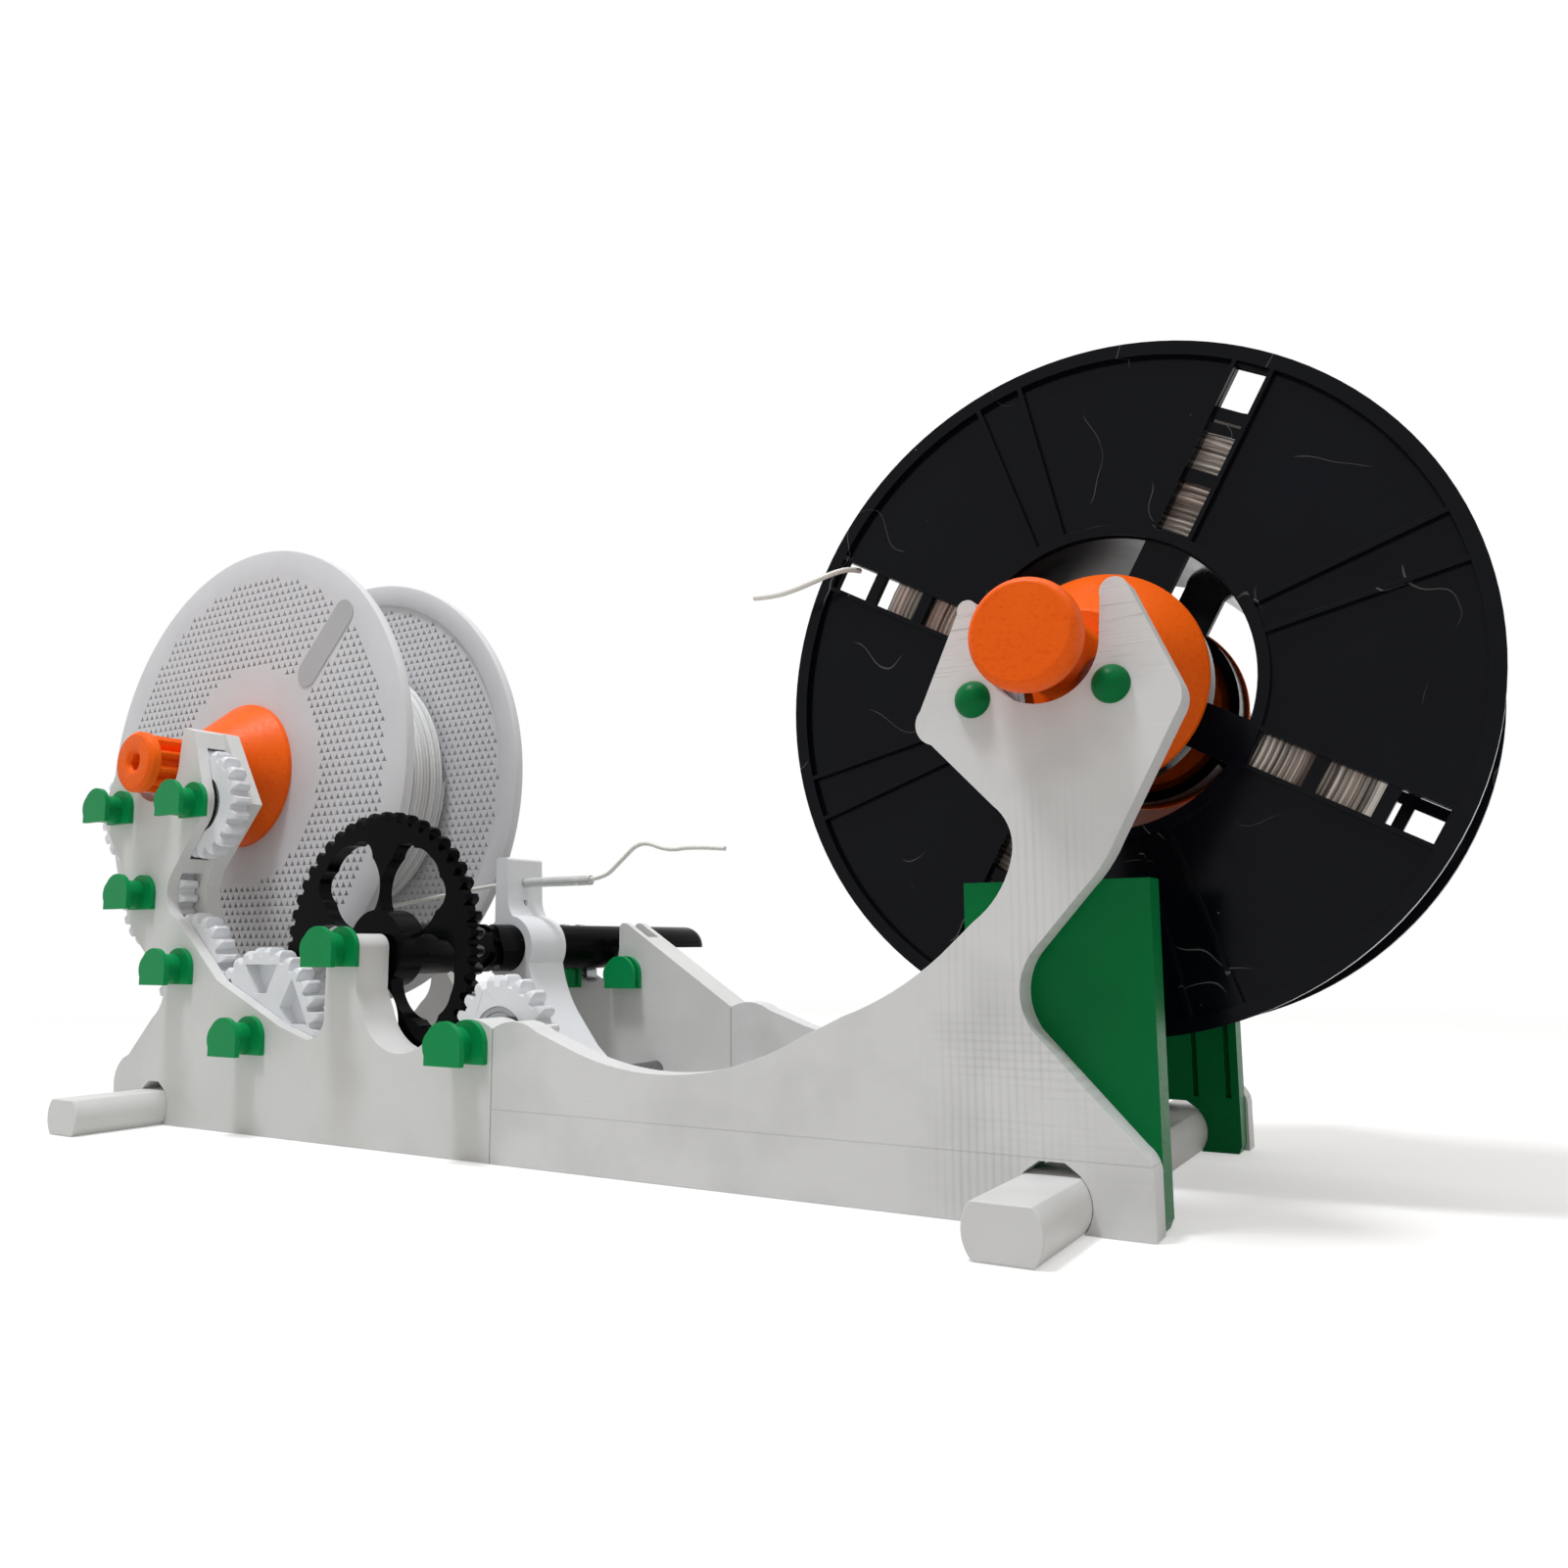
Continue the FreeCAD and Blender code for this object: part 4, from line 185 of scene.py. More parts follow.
def printed_pla(name, hex_colour, hex_shade, roughness, streaks, gloss=0.5, grain=0.0, line_height=0.0):
    """PLA from a filament printer: fine layer lines, and long streaks of the nozzle that break up the shine.
    Grain is the rough skin of a face that lay on a textured bed. With a line height above nought the piece
    is a half of the frame, which has one darker line at that height, a dark line of painted shade in the gap
    where it meets the other half, and the marks of its last layer."""
    if name in bpy.data.materials:
        return bpy.data.materials[name]
    material, tree, out, place = new_material(name)
    bands = add(tree, "ShaderNodeTexWave", {"bands_direction": "Y", "Scale": WAVE_REPEAT / DRAWN_LAYER,
                                            "Distortion": 0.6, "Detail": 1.0, "Detail Scale": 0.4},
                {"Vector": place})
    passes = add(tree, "ShaderNodeMapping", {"Scale": (0.09, 1.0, 1.3)}, {"Vector": place})
    ironed = add(tree, "ShaderNodeTexNoise", {"Scale": 1.0, "Detail": 4.0, "Roughness": 0.6},
                 {"Vector": passes.outputs[0]})
    cloud = add(tree, "ShaderNodeTexNoise", {"Scale": 0.035, "Detail": 3.0}, {"Vector": place})
    patches = add(tree, "ShaderNodeMapRange", {"From Min": 0.45, "From Max": 0.7, "To Max": 0.5},
                  {"Value": cloud.outputs[0]})
    shade = patches
    height = ironed
    painted_gap_shade = None
    if line_height > 0:
        parts = add(tree, "ShaderNodeSeparateXYZ", {}, {"Vector": place})
        marks = last_layer_marks(tree, place, parts)
        deep = add(tree, "ShaderNodeMath", {"operation": "MULTIPLY", 1: 0.55}, {0: marks})
        shade = add(tree, "ShaderNodeMath", {"operation": "ADD", "use_clamp": True},
                    {0: shade.outputs[0], 1: deep.outputs[0]})
        height = add(tree, "ShaderNodeMath", {"operation": "ADD"},
                     {0: height.outputs[0], 1: marks})
        level = add(tree, "ShaderNodeMath", {"operation": "COMPARE", 1: line_height, 2: 0.2},
                    {0: parts.outputs["Z"]})
        faint = add(tree, "ShaderNodeMath", {"operation": "MULTIPLY", 1: 0.6}, {0: level.outputs[0]})
        shade = add(tree, "ShaderNodeMath", {"operation": "ADD", "use_clamp": True},
                    {0: shade.outputs[0], 1: faint.outputs[0]})
        # A narrow band at the joint, darkened with painted shade for the gap between the halves.
        gap_shade_mask = add(tree, "ShaderNodeMath", {"operation": "COMPARE", 1: JOINT_X / MM, 2: 0.35},
                   {0: parts.outputs["X"]})
        painted_gap_shade = add(tree, "ShaderNodeMath", {"operation": "MULTIPLY", 1: 0.8}, {0: gap_shade_mask.outputs[0]})
    if grain > 0:
        skin = add(tree, "ShaderNodeTexNoise", {"Scale": 0.8, "Detail": 3.0, "Roughness": 0.6},
                   {"Vector": place})
        pits = add(tree, "ShaderNodeMapRange", {"From Min": 0.52, "From Max": 0.7, "To Max": grain},
                   {"Value": skin.outputs[0]})
        shade = add(tree, "ShaderNodeMath", {"operation": "ADD", "use_clamp": True},
                    {0: shade.outputs[0], 1: pits.outputs[0]})
        height = add(tree, "ShaderNodeMath", {"operation": "SUBTRACT"},
                     {0: height.outputs[0], 1: pits.outputs[0]})
    tint = add(tree, "ShaderNodeMix", {"data_type": "RGBA", 6: linear(hex_colour), 7: linear(hex_shade)},
               {0: shade.outputs[0]})
    # The painted shade of the gap mixes the colour towards a dark grey.
    if painted_gap_shade is not None:
        tint = add(tree, "ShaderNodeMix", {"data_type": "RGBA", 7: linear("#6C6963")},
                   {0: painted_gap_shade.outputs[0], 6: tint.outputs[2]})
    rough = add(tree, "ShaderNodeMapRange", {"From Min": 0.3, "From Max": 0.7, "To Min": roughness - 0.07,
                                             "To Max": roughness + 0.1}, {"Value": ironed.outputs[0]})
    low = add(tree, "ShaderNodeBump", {"Strength": 0.35 * streaks, "Distance": 0.14 * MM},
              {"Height": height.outputs[0]})
    lines = add(tree, "ShaderNodeBump", {"Strength": 0.25, "Distance": 0.08 * MM},
                {"Height": bands.outputs[1], "Normal": low.outputs[0]})
    shader = add(tree, "ShaderNodeBsdfPrincipled", {"IOR": 1.46, "Specular IOR Level": gloss},
                 {"Base Color": tint.outputs[2], "Roughness": rough.outputs[0], "Normal": lines.outputs[0]})
    tree.links.new(shader.outputs[0], out.inputs[0])
    return material


def moulded(name, hex_colour, hex_shade, roughness, smudge, dust=0.0, gloss=0.5):
    """Injection-moulded plastic: smooth, with finger smudges in the gloss. Dust adds specks and thin
    hairs."""
    if name in bpy.data.materials:
        return bpy.data.materials[name]
    material, tree, out, place = new_material(name)
    cloud = add(tree, "ShaderNodeTexNoise", {"Scale": 0.05, "Detail": 5.0, "Roughness": 0.62},
                {"Vector": place})
    grain = add(tree, "ShaderNodeTexNoise", {"Scale": 1.6, "Detail": 2.0}, {"Vector": place})
    tint = add(tree, "ShaderNodeMix", {"data_type": "RGBA", 6: linear(hex_colour), 7: linear(hex_shade)},
               {0: cloud.outputs[0]})
    if dust > 0:
        specks = add(tree, "ShaderNodeTexVoronoi", {"Scale": 0.085, "Randomness": 1.0}, {"Vector": place})
        dots = add(tree, "ShaderNodeMapRange", {"From Min": 0.018, "From Max": 0.026, "To Min": dust,
                                                "To Max": 0.0}, {"Value": specks.outputs["Distance"]})
        bent = add(tree, "ShaderNodeTexNoise", {"Scale": 0.03, "Detail": 1.0}, {"Vector": place})
        edge = add(tree, "ShaderNodeMath", {"operation": "COMPARE", 1: 0.5, 2: 0.0016},
                   {0: bent.outputs[0]})
        broken = add(tree, "ShaderNodeTexNoise", {"Scale": 0.045, "Detail": 0.0}, {"Vector": place})
        here = add(tree, "ShaderNodeMapRange", {"From Min": 0.58, "From Max": 0.63, "To Max": 0.35},
                   {"Value": broken.outputs[0]})
        hairs = add(tree, "ShaderNodeMath", {"operation": "MULTIPLY"},
                    {0: edge.outputs[0], 1: here.outputs[0]})
        both = add(tree, "ShaderNodeMath", {"operation": "MAXIMUM"},
                   {0: dots.outputs[0], 1: hairs.outputs[0]})
        tint = add(tree, "ShaderNodeMix", {"data_type": "RGBA", 7: linear("#8F8E8C")},
                   {0: both.outputs[0], 6: tint.outputs[2]})
    rough = add(tree, "ShaderNodeMapRange", {"From Min": 0.3, "From Max": 0.7, "To Min": roughness - smudge,
                                             "To Max": roughness + smudge}, {"Value": cloud.outputs[0]})
    bump = add(tree, "ShaderNodeBump", {"Strength": 0.12, "Distance": 0.08 * MM},
               {"Height": grain.outputs[0]})
    shader = add(tree, "ShaderNodeBsdfPrincipled", {"IOR": 1.5, "Specular IOR Level": gloss},
                 {"Base Color": tint.outputs[2], "Roughness": rough.outputs[0], "Normal": bump.outputs[0]})
    tree.links.new(shader.outputs[0], out.inputs[0])
    return material


def filament_plastic(name, hex_colour, hex_shade, roughness, clear=0.0, metallic=0.0, axle=None):
    """Drawn plastic: very smooth, and as clear as it is given. On a spool whole runs of turns lie tighter or
    looser and catch the light by themselves, so with an axle light and shade are painted into the colour,
    and go by the distance from it and by Y."""
    if name in bpy.data.materials:
        return bpy.data.materials[name]
    material, tree, out, place = new_material(name)
    cloud = add(tree, "ShaderNodeTexNoise", {"Scale": 0.16, "Detail": 3.0, "Roughness": 0.7},
                {"Vector": place})
    shade = cloud
    if axle is not None:
        # Painted highlight and shade of whole runs of turns, by the distance from the axle and by Y.
        centre = add(tree, "ShaderNodeVectorMath",
                     {"operation": "SUBTRACT", 1: (axle / MM, 0, AXLE_Z / MM)}, {0: place})
        parts = add(tree, "ShaderNodeSeparateXYZ", {}, {"Vector": centre.outputs[0]})
        level = add(tree, "ShaderNodeCombineXYZ", {}, {"X": parts.outputs["X"], "Z": parts.outputs["Z"]})
        reach = add(tree, "ShaderNodeVectorMath", {"operation": "LENGTH"}, {0: level.outputs[0]})
        wave = add(tree, "ShaderNodeMath", {"operation": "MULTIPLY", 1: 0.03}, {0: parts.outputs["X"]})
        run = add(tree, "ShaderNodeCombineXYZ", {}, {"X": reach.outputs["Value"], "Y": parts.outputs["Y"],
                                                     "Z": wave.outputs[0]})
        turns = add(tree, "ShaderNodeTexNoise", {"Scale": 0.42, "Detail": 3.0, "Roughness": 0.75},
                    {"Vector": run.outputs[0]})
        shade = add(tree, "ShaderNodeMapRange", {"From Min": 0.36, "From Max": 0.64},
                    {"Value": turns.outputs[0]})
    tint = add(tree, "ShaderNodeMix", {"data_type": "RGBA", 6: linear(hex_colour), 7: linear(hex_shade)},
               {0: shade.outputs[0]})
    rough = add(tree, "ShaderNodeMapRange", {"To Min": roughness * 0.7, "To Max": roughness * 1.3},
                {"Value": cloud.outputs[0]})
    shader = add(tree, "ShaderNodeBsdfPrincipled",
                 {"IOR": 1.46, "Transmission Weight": clear, "Metallic": metallic},
                 {"Base Color": tint.outputs[2], "Roughness": rough.outputs[0]})
    tree.links.new(shader.outputs[0], out.inputs[0])
    return material


def ground_steel():
    """Bearing steel, ground bright: a dull mirror with fine turning marks across Y."""
    name = "ground_bearing_steel"
    if name in bpy.data.materials:
        return bpy.data.materials[name]
    material, tree, out, place = new_material(name, (1000, 9000, 1000))
    marks = add(tree, "ShaderNodeTexNoise", {"Scale": 0.6, "Detail": 3.0}, {"Vector": place})
    rough = add(tree, "ShaderNodeMapRange", {"To Min": 0.16, "To Max": 0.38}, {"Value": marks.outputs[0]})
    bump = add(tree, "ShaderNodeBump", {"Strength": 0.1, "Distance": 0.05 * MM},
               {"Height": marks.outputs[0]})
    shader = add(tree, "ShaderNodeBsdfPrincipled", {"Base Color": linear("#8F9093"), "Metallic": 1.0},
                 {"Roughness": rough.outputs[0], "Normal": bump.outputs[0]})
    tree.links.new(shader.outputs[0], out.inputs[0])
    return material


def white_pla():
    """Printed PLA, white: a soft satin that shows its layers only along the light."""
    return printed_pla("white_pla_printed", "#DFDFDD", "#D2D1CE", 0.44, 0.5)


def gear_pla():
    """Printed PLA, bright white: cleaner and smoother than the frames."""
    return printed_pla("bright_white_pla_printed", "#EBEDF0", "#E2E4E8", 0.36, 0.3)


def ironed_pla():
    """Printed PLA, white, ironed: the passes of the hot nozzle stay as a grid of faint grey lines."""
    return printed_pla("white_pla_ironed", "#E1E1E0", "#C4C4C3", 0.42, 0.9, line_height=16.4)


def green_pla():
    """Printed PLA, green: small pins that catch the light."""
    return printed_pla("green_pla_printed", "#079250", "#058646", 0.34, 0.3, gloss=0.15)


def green_pla_painted_shade():
    """Printed PLA, green, with painted shade: a darker copy of the pins' green for the flat plates and domes.
    """
    return printed_pla("deep_green_pla_printed", "#017039", "#016533", 0.34, 0.3, gloss=0.1)


def orange_pla():
    """Printed PLA, orange, from a textured bed: a bright skin with fine dark pits."""
    return printed_pla("orange_pla_printed", "#FF6803", "#F65A02", 0.42, 0.8, gloss=0.2, grain=0.8)


def black_pla():
    """Printed PLA, black: deep, with narrow highlights on the edges."""
    return printed_pla("black_pla_printed", "#060607", "#040405", 0.15, 0.2, gloss=0.05)


def black_moulding():
    """Moulded polystyrene, black: a glossy black with a faint blue of painted sheen, that shows dust and
    stray hairs of plastic.
    """
    return moulded("black_polystyrene_moulded", "#090C15", "#050507", 0.18, 0.06, dust=0.5, gloss=0.1)


def white_moulding():
    """Moulded ABS, white: an even matt shell."""
    return moulded("white_abs_moulded", "#DFDFE1", "#D3D3D6", 0.45, 0.08)


def satin_field():
    """Moulded ABS, etched in the mould: a flat grey satin."""
    return moulded("white_abs_satin_field", "#BDBDBE", "#B4B4B6", 0.55, 0.06)


def white_strand():
    """Drawn PLA, white: bright turns with soft grey painted shade in runs."""
    return filament_plastic("white_pla_filament", "#EDEDEC", "#C9C9C8", 0.3, axle=TAKE_UP_X)


def natural_strand():
    """Drawn PLA without pigment: a milky, warm white."""
    return filament_plastic("natural_pla_filament", "#F1F0EA", "#E9E8E0", 0.4)


def grey_strand():
    """Drawn PLA, grey-brown with a metallic pigment: painted highlights and shade as streaks of light and
    dark turns.
    """
    return filament_plastic("grey_brown_pla_filament", "#E2D8CE", "#5E544E", 0.24, metallic=0.3,
                            axle=SUPPLY_X)


def clear_tube():
    """Extruded PTFE: milky, half clear and waxy."""
    return filament_plastic("ptfe_tube_extruded", "#EEF0EE", "#E4E7E4", 0.25, clear=0.45)


# Meshes

# Corners that lie nearer than this are one corner: in a copy of a solid's mesh, and in a new mesh.
COPY_MERGE = 2e-6
NEW_MERGE = 1e-6
# Faces that meet at less than the flat angle lie in one plane. Edges get rounded above the second angle, and
# shade sharp above the third.
FLAT_ANGLE = math.radians(0.6)
ROUNDED_ANGLE = math.radians(28)
SHARP_ANGLE = math.radians(32)


def dress(obj, material, body):
    """Smooth shading up to the sharp angle, one material, and the piece's body."""
    obj.data.materials.clear()
    obj.data.materials.append(material)
    obj.data.shade_smooth()
    obj.data.set_sharp_from_angle(angle=SHARP_ANGLE)
    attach(obj, body)
    return obj


def mesh_piece(name, verts, faces, material, body):
    """A new mesh object that rides on a body and takes the material it is given."""
    mesh = bpy.data.meshes.new(name)
    mesh.from_pydata(np.asarray(verts).tolist(), [], faces if isinstance(faces, list) else faces.tolist())
    mesh.update()
    obj = bpy.data.objects.new(name, mesh)
    bpy.context.scene.collection.objects.link(obj)
    return dress(obj, material, body)


def wrapped_grid(rows, columns, close_rows):
    """Quads over a grid of rows by columns whose columns run round and whose rows may close as well."""
    index = np.arange(rows * columns).reshape(rows, columns)
    nexts = np.roll(index, -1, axis=1)
    if close_rows:
        upper = np.roll(index, -1, axis=0)
        upper_next = np.roll(nexts, -1, axis=0)
        return np.stack([index, upper, upper_next, nexts], -1).reshape(-1, 4)
    return np.stack([index[:-1], index[1:], nexts[1:], nexts[:-1]], -1).reshape(-1, 4)


def turned_surface(profile, x, z, segments):
    """A closed profile of radius and Y, turned about the line along Y through x, z: each point keeps its Y
    and goes round at its radius."""
    profile = np.asarray(profile, float)
    angle = np.linspace(0, 2 * np.pi, segments, endpoint=False)
    radius = profile[:, :1]
    verts = np.stack([x + radius * np.cos(angle), np.broadcast_to(profile[:, 1:2], (len(profile), segments)),
                      z + radius * np.sin(angle)], -1)
    return verts.reshape(-1, 3), wrapped_grid(len(profile), segments, True)


def facing_out(obj):
    """Turns a closed mesh's faces outwards, after its doubles are merged."""
    work = bmesh.new()
    work.from_mesh(obj.data)
    bmesh.ops.remove_doubles(work, verts=work.verts, dist=NEW_MERGE)
    bmesh.ops.recalc_face_normals(work, faces=work.faces)
    work.to_mesh(obj.data)
    work.free()
    return obj


def tube_surface(path, radius, sides):
    """A round tube along points: each ring is a circle on two axes, of which the first is square to the path
    and to Y, and the second is square to the path and to the first. Both ends are closed."""
    path = np.asarray(path, float)
    way = np.gradient(path, axis=0)
    way /= np.linalg.norm(way, axis=1, keepdims=True)
    side = np.cross(way, np.array([0.0, 1.0, 0.0]))
    side /= np.linalg.norm(side, axis=1, keepdims=True)
    up = np.cross(side, way)
    angle = np.linspace(0, 2 * np.pi, sides, endpoint=False)
    ring = side[:, None] * np.cos(angle)[None, :, None] + up[:, None] * np.sin(angle)[None, :, None]
    verts = (path[:, None] + radius * ring).reshape(-1, 3)
    faces = wrapped_grid(len(path), sides, False).tolist()
    faces.append(list(range(sides))[::-1])
    faces.append(list(range((len(path) - 1) * sides, len(path) * sides)))
    return verts, faces


def softened(node, material, width, segments=2):
    """A CAD node's own mesh, merged and with its sharp edges rounded by a width in millimetres, which stands
    for the node."""
    mesh = frame["nodes"][node].data.copy()
    work = bmesh.new()
    work.from_mesh(mesh)
    bmesh.ops.remove_doubles(work, verts=work.verts, dist=COPY_MERGE)
    bmesh.ops.dissolve_limit(work, angle_limit=FLAT_ANGLE, verts=work.verts, edges=work.edges)
    work.to_mesh(mesh)
    work.free()
    mesh.name = node + "_print"
    obj = bpy.data.objects.new(node + "_print", mesh)
    bpy.context.scene.collection.objects.link(obj)
    dress(obj, material, NODE_BODY[node])
    bevel = obj.modifiers.new("edge", "BEVEL")
    bevel.width = width * MM
    bevel.segments = segments
    bevel.limit_method = "ANGLE"
    bevel.angle_limit = ROUNDED_ANGLE
    bevel.harden_normals = True
    bevel.use_clamp_overlap = True
    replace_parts(obj, node)


def finished(node, material):
    """A CAD node that stays as it is and gets its material."""
    mesh = frame["nodes"][node].data
    mesh.materials.clear()
    mesh.materials.append(material)


def kept_triangles(loops):
    """Triangulates the loops and keeps the triangles between the first loop and the others. The way in from
    the outside crosses a loop each time that solid changes to hole or back, so each crossing turns the
    side."""
    points = np.concatenate(loops)
    edges = []
    start = 0
    for loop in loops:
        ids = np.arange(start, start + len(loop))
        edges.append(np.stack([ids, np.roll(ids, -1)], -1))
        start += len(loop)
    inside_only = 1
    closeness = 1e-7
    found = delaunay_2d_cdt([Vector(point) for point in points.tolist()], np.concatenate(edges).tolist(), [],
                            inside_only, closeness)
    border = {tuple(sorted(edge)) for edge, source in zip(found[1], found[4]) if source}
    faces = [list(face) for face in found[2]]
    sides = [[tuple(sorted(pair)) for pair in zip(face, face[1:] + face[:1])] for face in faces]
    beside = {}
    for index, keys in enumerate(sides):
        for key in keys:
            beside.setdefault(key, []).append(index)
    solid = {owners[0]: True for owners in beside.values() if len(owners) == 1}
    waiting = list(solid)
    while waiting:
        index = waiting.pop()
        for key in sides[index]:
            for other in beside[key]:
                if other not in solid:
                    solid[other] = solid[index] != (key in border)
                    waiting.append(other)
    flat = np.array([tuple(vertex) for vertex in found[0]])
    return flat, [face for index, face in enumerate(faces) if solid.get(index)]


def holed_plate(loops, near, far):
    """A flat plate between two Y values. The first loop is its outline and the others are holes: the kept
    triangles are laid at both Y values and joined by walls along every edge that only one of them has."""
    flat, faces = kept_triangles(loops)
    count = len(flat)
    front = np.stack([flat[:, 0], np.full(count, near), flat[:, 1]], -1)
    back = np.stack([flat[:, 0], np.full(count, far), flat[:, 1]], -1)
    other = [[index + count for index in face[::-1]] for face in faces]
    use = {}
    for face in faces:
        for first, second in zip(face, face[1:] + face[:1]):
            key = (min(first, second), max(first, second))
            use.setdefault(key, []).append((first, second))
    walls = [[second, first, first + count, second + count]
             for pairs in use.values() if len(pairs) == 1 for first, second in pairs]
    return np.concatenate([front, back]), faces + other + walls


# Settings that a user would change


class WinderSettings(bpy.types.PropertyGroup):
    lattice_pitch: FloatProperty(
        name="Lattice pitch", description="Spacing of the holes in the white flanges, millimetres",
        default=3.8, min=2.0)
    strand_gap: FloatProperty(
        name="Strand spacing", description="From one turn of filament to the next, millimetres",
        default=1.79, min=1.75)
    edge_width: FloatProperty(
        name="Edge rounding", description="Rounding of printed edges, millimetres", default=0.4, min=0.1)
    floor_colour: FloatVectorProperty(
        name="Floor", description="Colour of the floor", default=linear("#D6D5D3")[:3], subtype="COLOR",
        min=0.0, max=1.0)
    floor_lift: FloatProperty(
        name="Floor lift", description="Light that is added where the floor is looked at", default=0.42,
        min=0.0)
    room_light: FloatProperty(
        name="Room light", description="Strength of the light from all round", default=0.44, min=0.0)
    key_power: FloatProperty(
        name="Window power", description="Power of the window high above, watts", default=13.5, min=0.0)
    fill_power: FloatProperty(
        name="Ceiling power", description="Power of the wide light overhead, watts", default=5.5, min=0.0)
    turned_segments: IntProperty(
        name="Turned segments", description="Faces round a turned piece", default=192, min=48)


class PieceOperator:
    """What the operators share: each makes its pieces with the scene's settings."""
    bl_options = {"REGISTER", "UNDO"}

    def execute(self, context):
        self.make(context.scene.winder)
        return {"FINISHED"}


class WINDER_OT_frames(PieceOperator, bpy.types.Operator):
    """Prints the four frame halves, the cross rods and the two brace plates"""
    bl_idname = "winder.frames"
    bl_label = "Frames"

    def make(self, settings):
        for node in ("front_frame_left", "rear_frame_left"):
            softened(node, white_pla(), settings.edge_width)
        for node in ("front_frame_right", "rear_frame_right"):
            softened(node, ironed_pla(), settings.edge_width)
        for node in ("cross_rod_left", "cross_rod_right"):
            softened(node, white_pla(), settings.edge_width)
        for node in ("front_brace_plate", "rear_brace_plate"):
            # The brace plates take the green darkened with painted shade.
            softened(node, green_pla_painted_shade(), 2 * settings.edge_width)


class WINDER_OT_pins(PieceOperator, bpy.types.Operator):
    """Prints the clip pins and the domed pins"""
    bl_idname = "winder.pins"
    bl_label = "Pins"

    def make(self, settings):
        for node in ("idler_gear_pins", "compound_gear_pin", "shaft_front_pin", "end_gear_pin",
                     "rear_right_roller_pins", "rear_left_roller_pins", "shaft_roller_pins"):
            softened(node, green_pla(), settings.edge_width, segments=3)
        # The domed pins take the green darkened with painted shade.
        softened("front_roller_pins", green_pla_painted_shade(), settings.edge_width, segments=3)


class WINDER_OT_bearings(PieceOperator, bpy.types.Operator):
    """Grinds the ball bearings and the guide rail"""
    bl_idname = "winder.bearings"
    bl_label = "Bearings"

    def make(self, settings):
        for node, slot in RECORD_SLOTS.items():
            if slot == "bearing_steel":
                softened(node, ground_steel(), width=0.15)


class WINDER_OT_gears(PieceOperator, bpy.types.Operator):
    """Prints the white gears with rounded teeth"""
    bl_idname = "winder.gears"
    bl_label = "Gears"

    def make(self, settings):
        for node in ("idler_gear_left", "idler_gear_right", "transfer_gear", "lower_gear", "compound_gear",
                     "end_gear"):
            softened(node, gear_pla(), width=0.5, segments=3)


class WINDER_OT_level_wind(PieceOperator, bpy.types.Operator):
    """Prints the black gear with its grooved shaft, and the guide arm that slides on it"""
    bl_idname = "winder.level_wind"
    bl_label = "Level wind"

    def make(self, settings):
        softened("level_wind_shaft", black_pla(), width=0.4)
        softened("guide_arm", gear_pla(), width=0.35)
        finished("guide_tube", clear_tube())


class WINDER_OT_turned_parts(PieceOperator, bpy.types.Operator):
    """Prints the knobs with their axles and the clamping cones"""
    bl_idname = "winder.turned_parts"
    bl_label = "Knobs and cones"

    def make(self, settings):
        for node, slot in RECORD_SLOTS.items():
            if slot == "orange_printed":
                softened(node, orange_pla(), width=0.5, segments=3)


# The white spool's radii, from its edge inwards.
SPOOL_RADIUS = 0.1
LATTICE_OUTER = 0.0895
HUB_RADIUS = 0.0462
CORE_RADIUS = 0.045
HOLLOW_RADIUS = 0.0425
BORE_RADIUS = 0.027
FLANGE_DEPTH = 3 * MM
RIM_DEPTH = 4.5 * MM
# A lattice hole's reach from its centre, at an arm's tip and between two arms.
ARM_TIP = 1.6 * MM
ARM_NOTCH = 0.68 * MM
# The bare field leans from level, and its half round ends have their centres at two distances from the axle.
# It stands out of the flange by its rise and reaches into it by its depth.
FIELD_LEAN = math.radians(47)
FIELD_ENDS = (87 * MM, 56 * MM)
FIELD_HALF = 6 * MM
FIELD_RISE = 0.4 * MM
FIELD_DEPTH = 1 * MM
# The lattice stays bare within this margin of the field, and from this distance to the axle outwards.
FIELD_MARGIN = 1.6 * MM
BARE_FROM = 48 * MM


def lattice_centres(inner, outer, pitch):
    """Centres of a triangular grid about the axle: every other row lies half a pitch along. Centres within
    about half a pitch of the ring's two edges are left out."""
    row = pitch * math.sqrt(3) / 2
    reach = int(outer / row) + 2
    u, v = np.meshgrid(np.arange(-reach * 2, reach * 2 + 1), np.arange(-reach, reach + 1))
    centre_x = (u + (v % 2) / 2) * pitch
    centre_z = v * row
    far = np.hypot(centre_x, centre_z)
    keep = (far > inner + 0.55 * pitch) & (far < outer - 0.5 * pitch)
    return centre_x[keep], centre_z[keep]


def three_armed_loops(centre_x, centre_z):
    """Six points round each centre, by turns at the radius of an arm's tip and of the notch between arms."""
    angle = np.arange(6) * np.pi / 3 + np.pi / 2
    radius = np.where(np.arange(6) % 2 == 0, ARM_TIP, ARM_NOTCH)
    px = TAKE_UP_X + centre_x[:, None] + radius * np.cos(angle)
    pz = AXLE_Z + centre_z[:, None] + radius * np.sin(angle)
    return np.stack([px, pz], -1)


def circle_loop(radius, count):
    """Even points on a circle about the take-up axle."""
    angle = np.linspace(0, 2 * np.pi, count, endpoint=False)
    return np.stack([TAKE_UP_X + radius * np.cos(angle), AXLE_Z + radius * np.sin(angle)], -1)


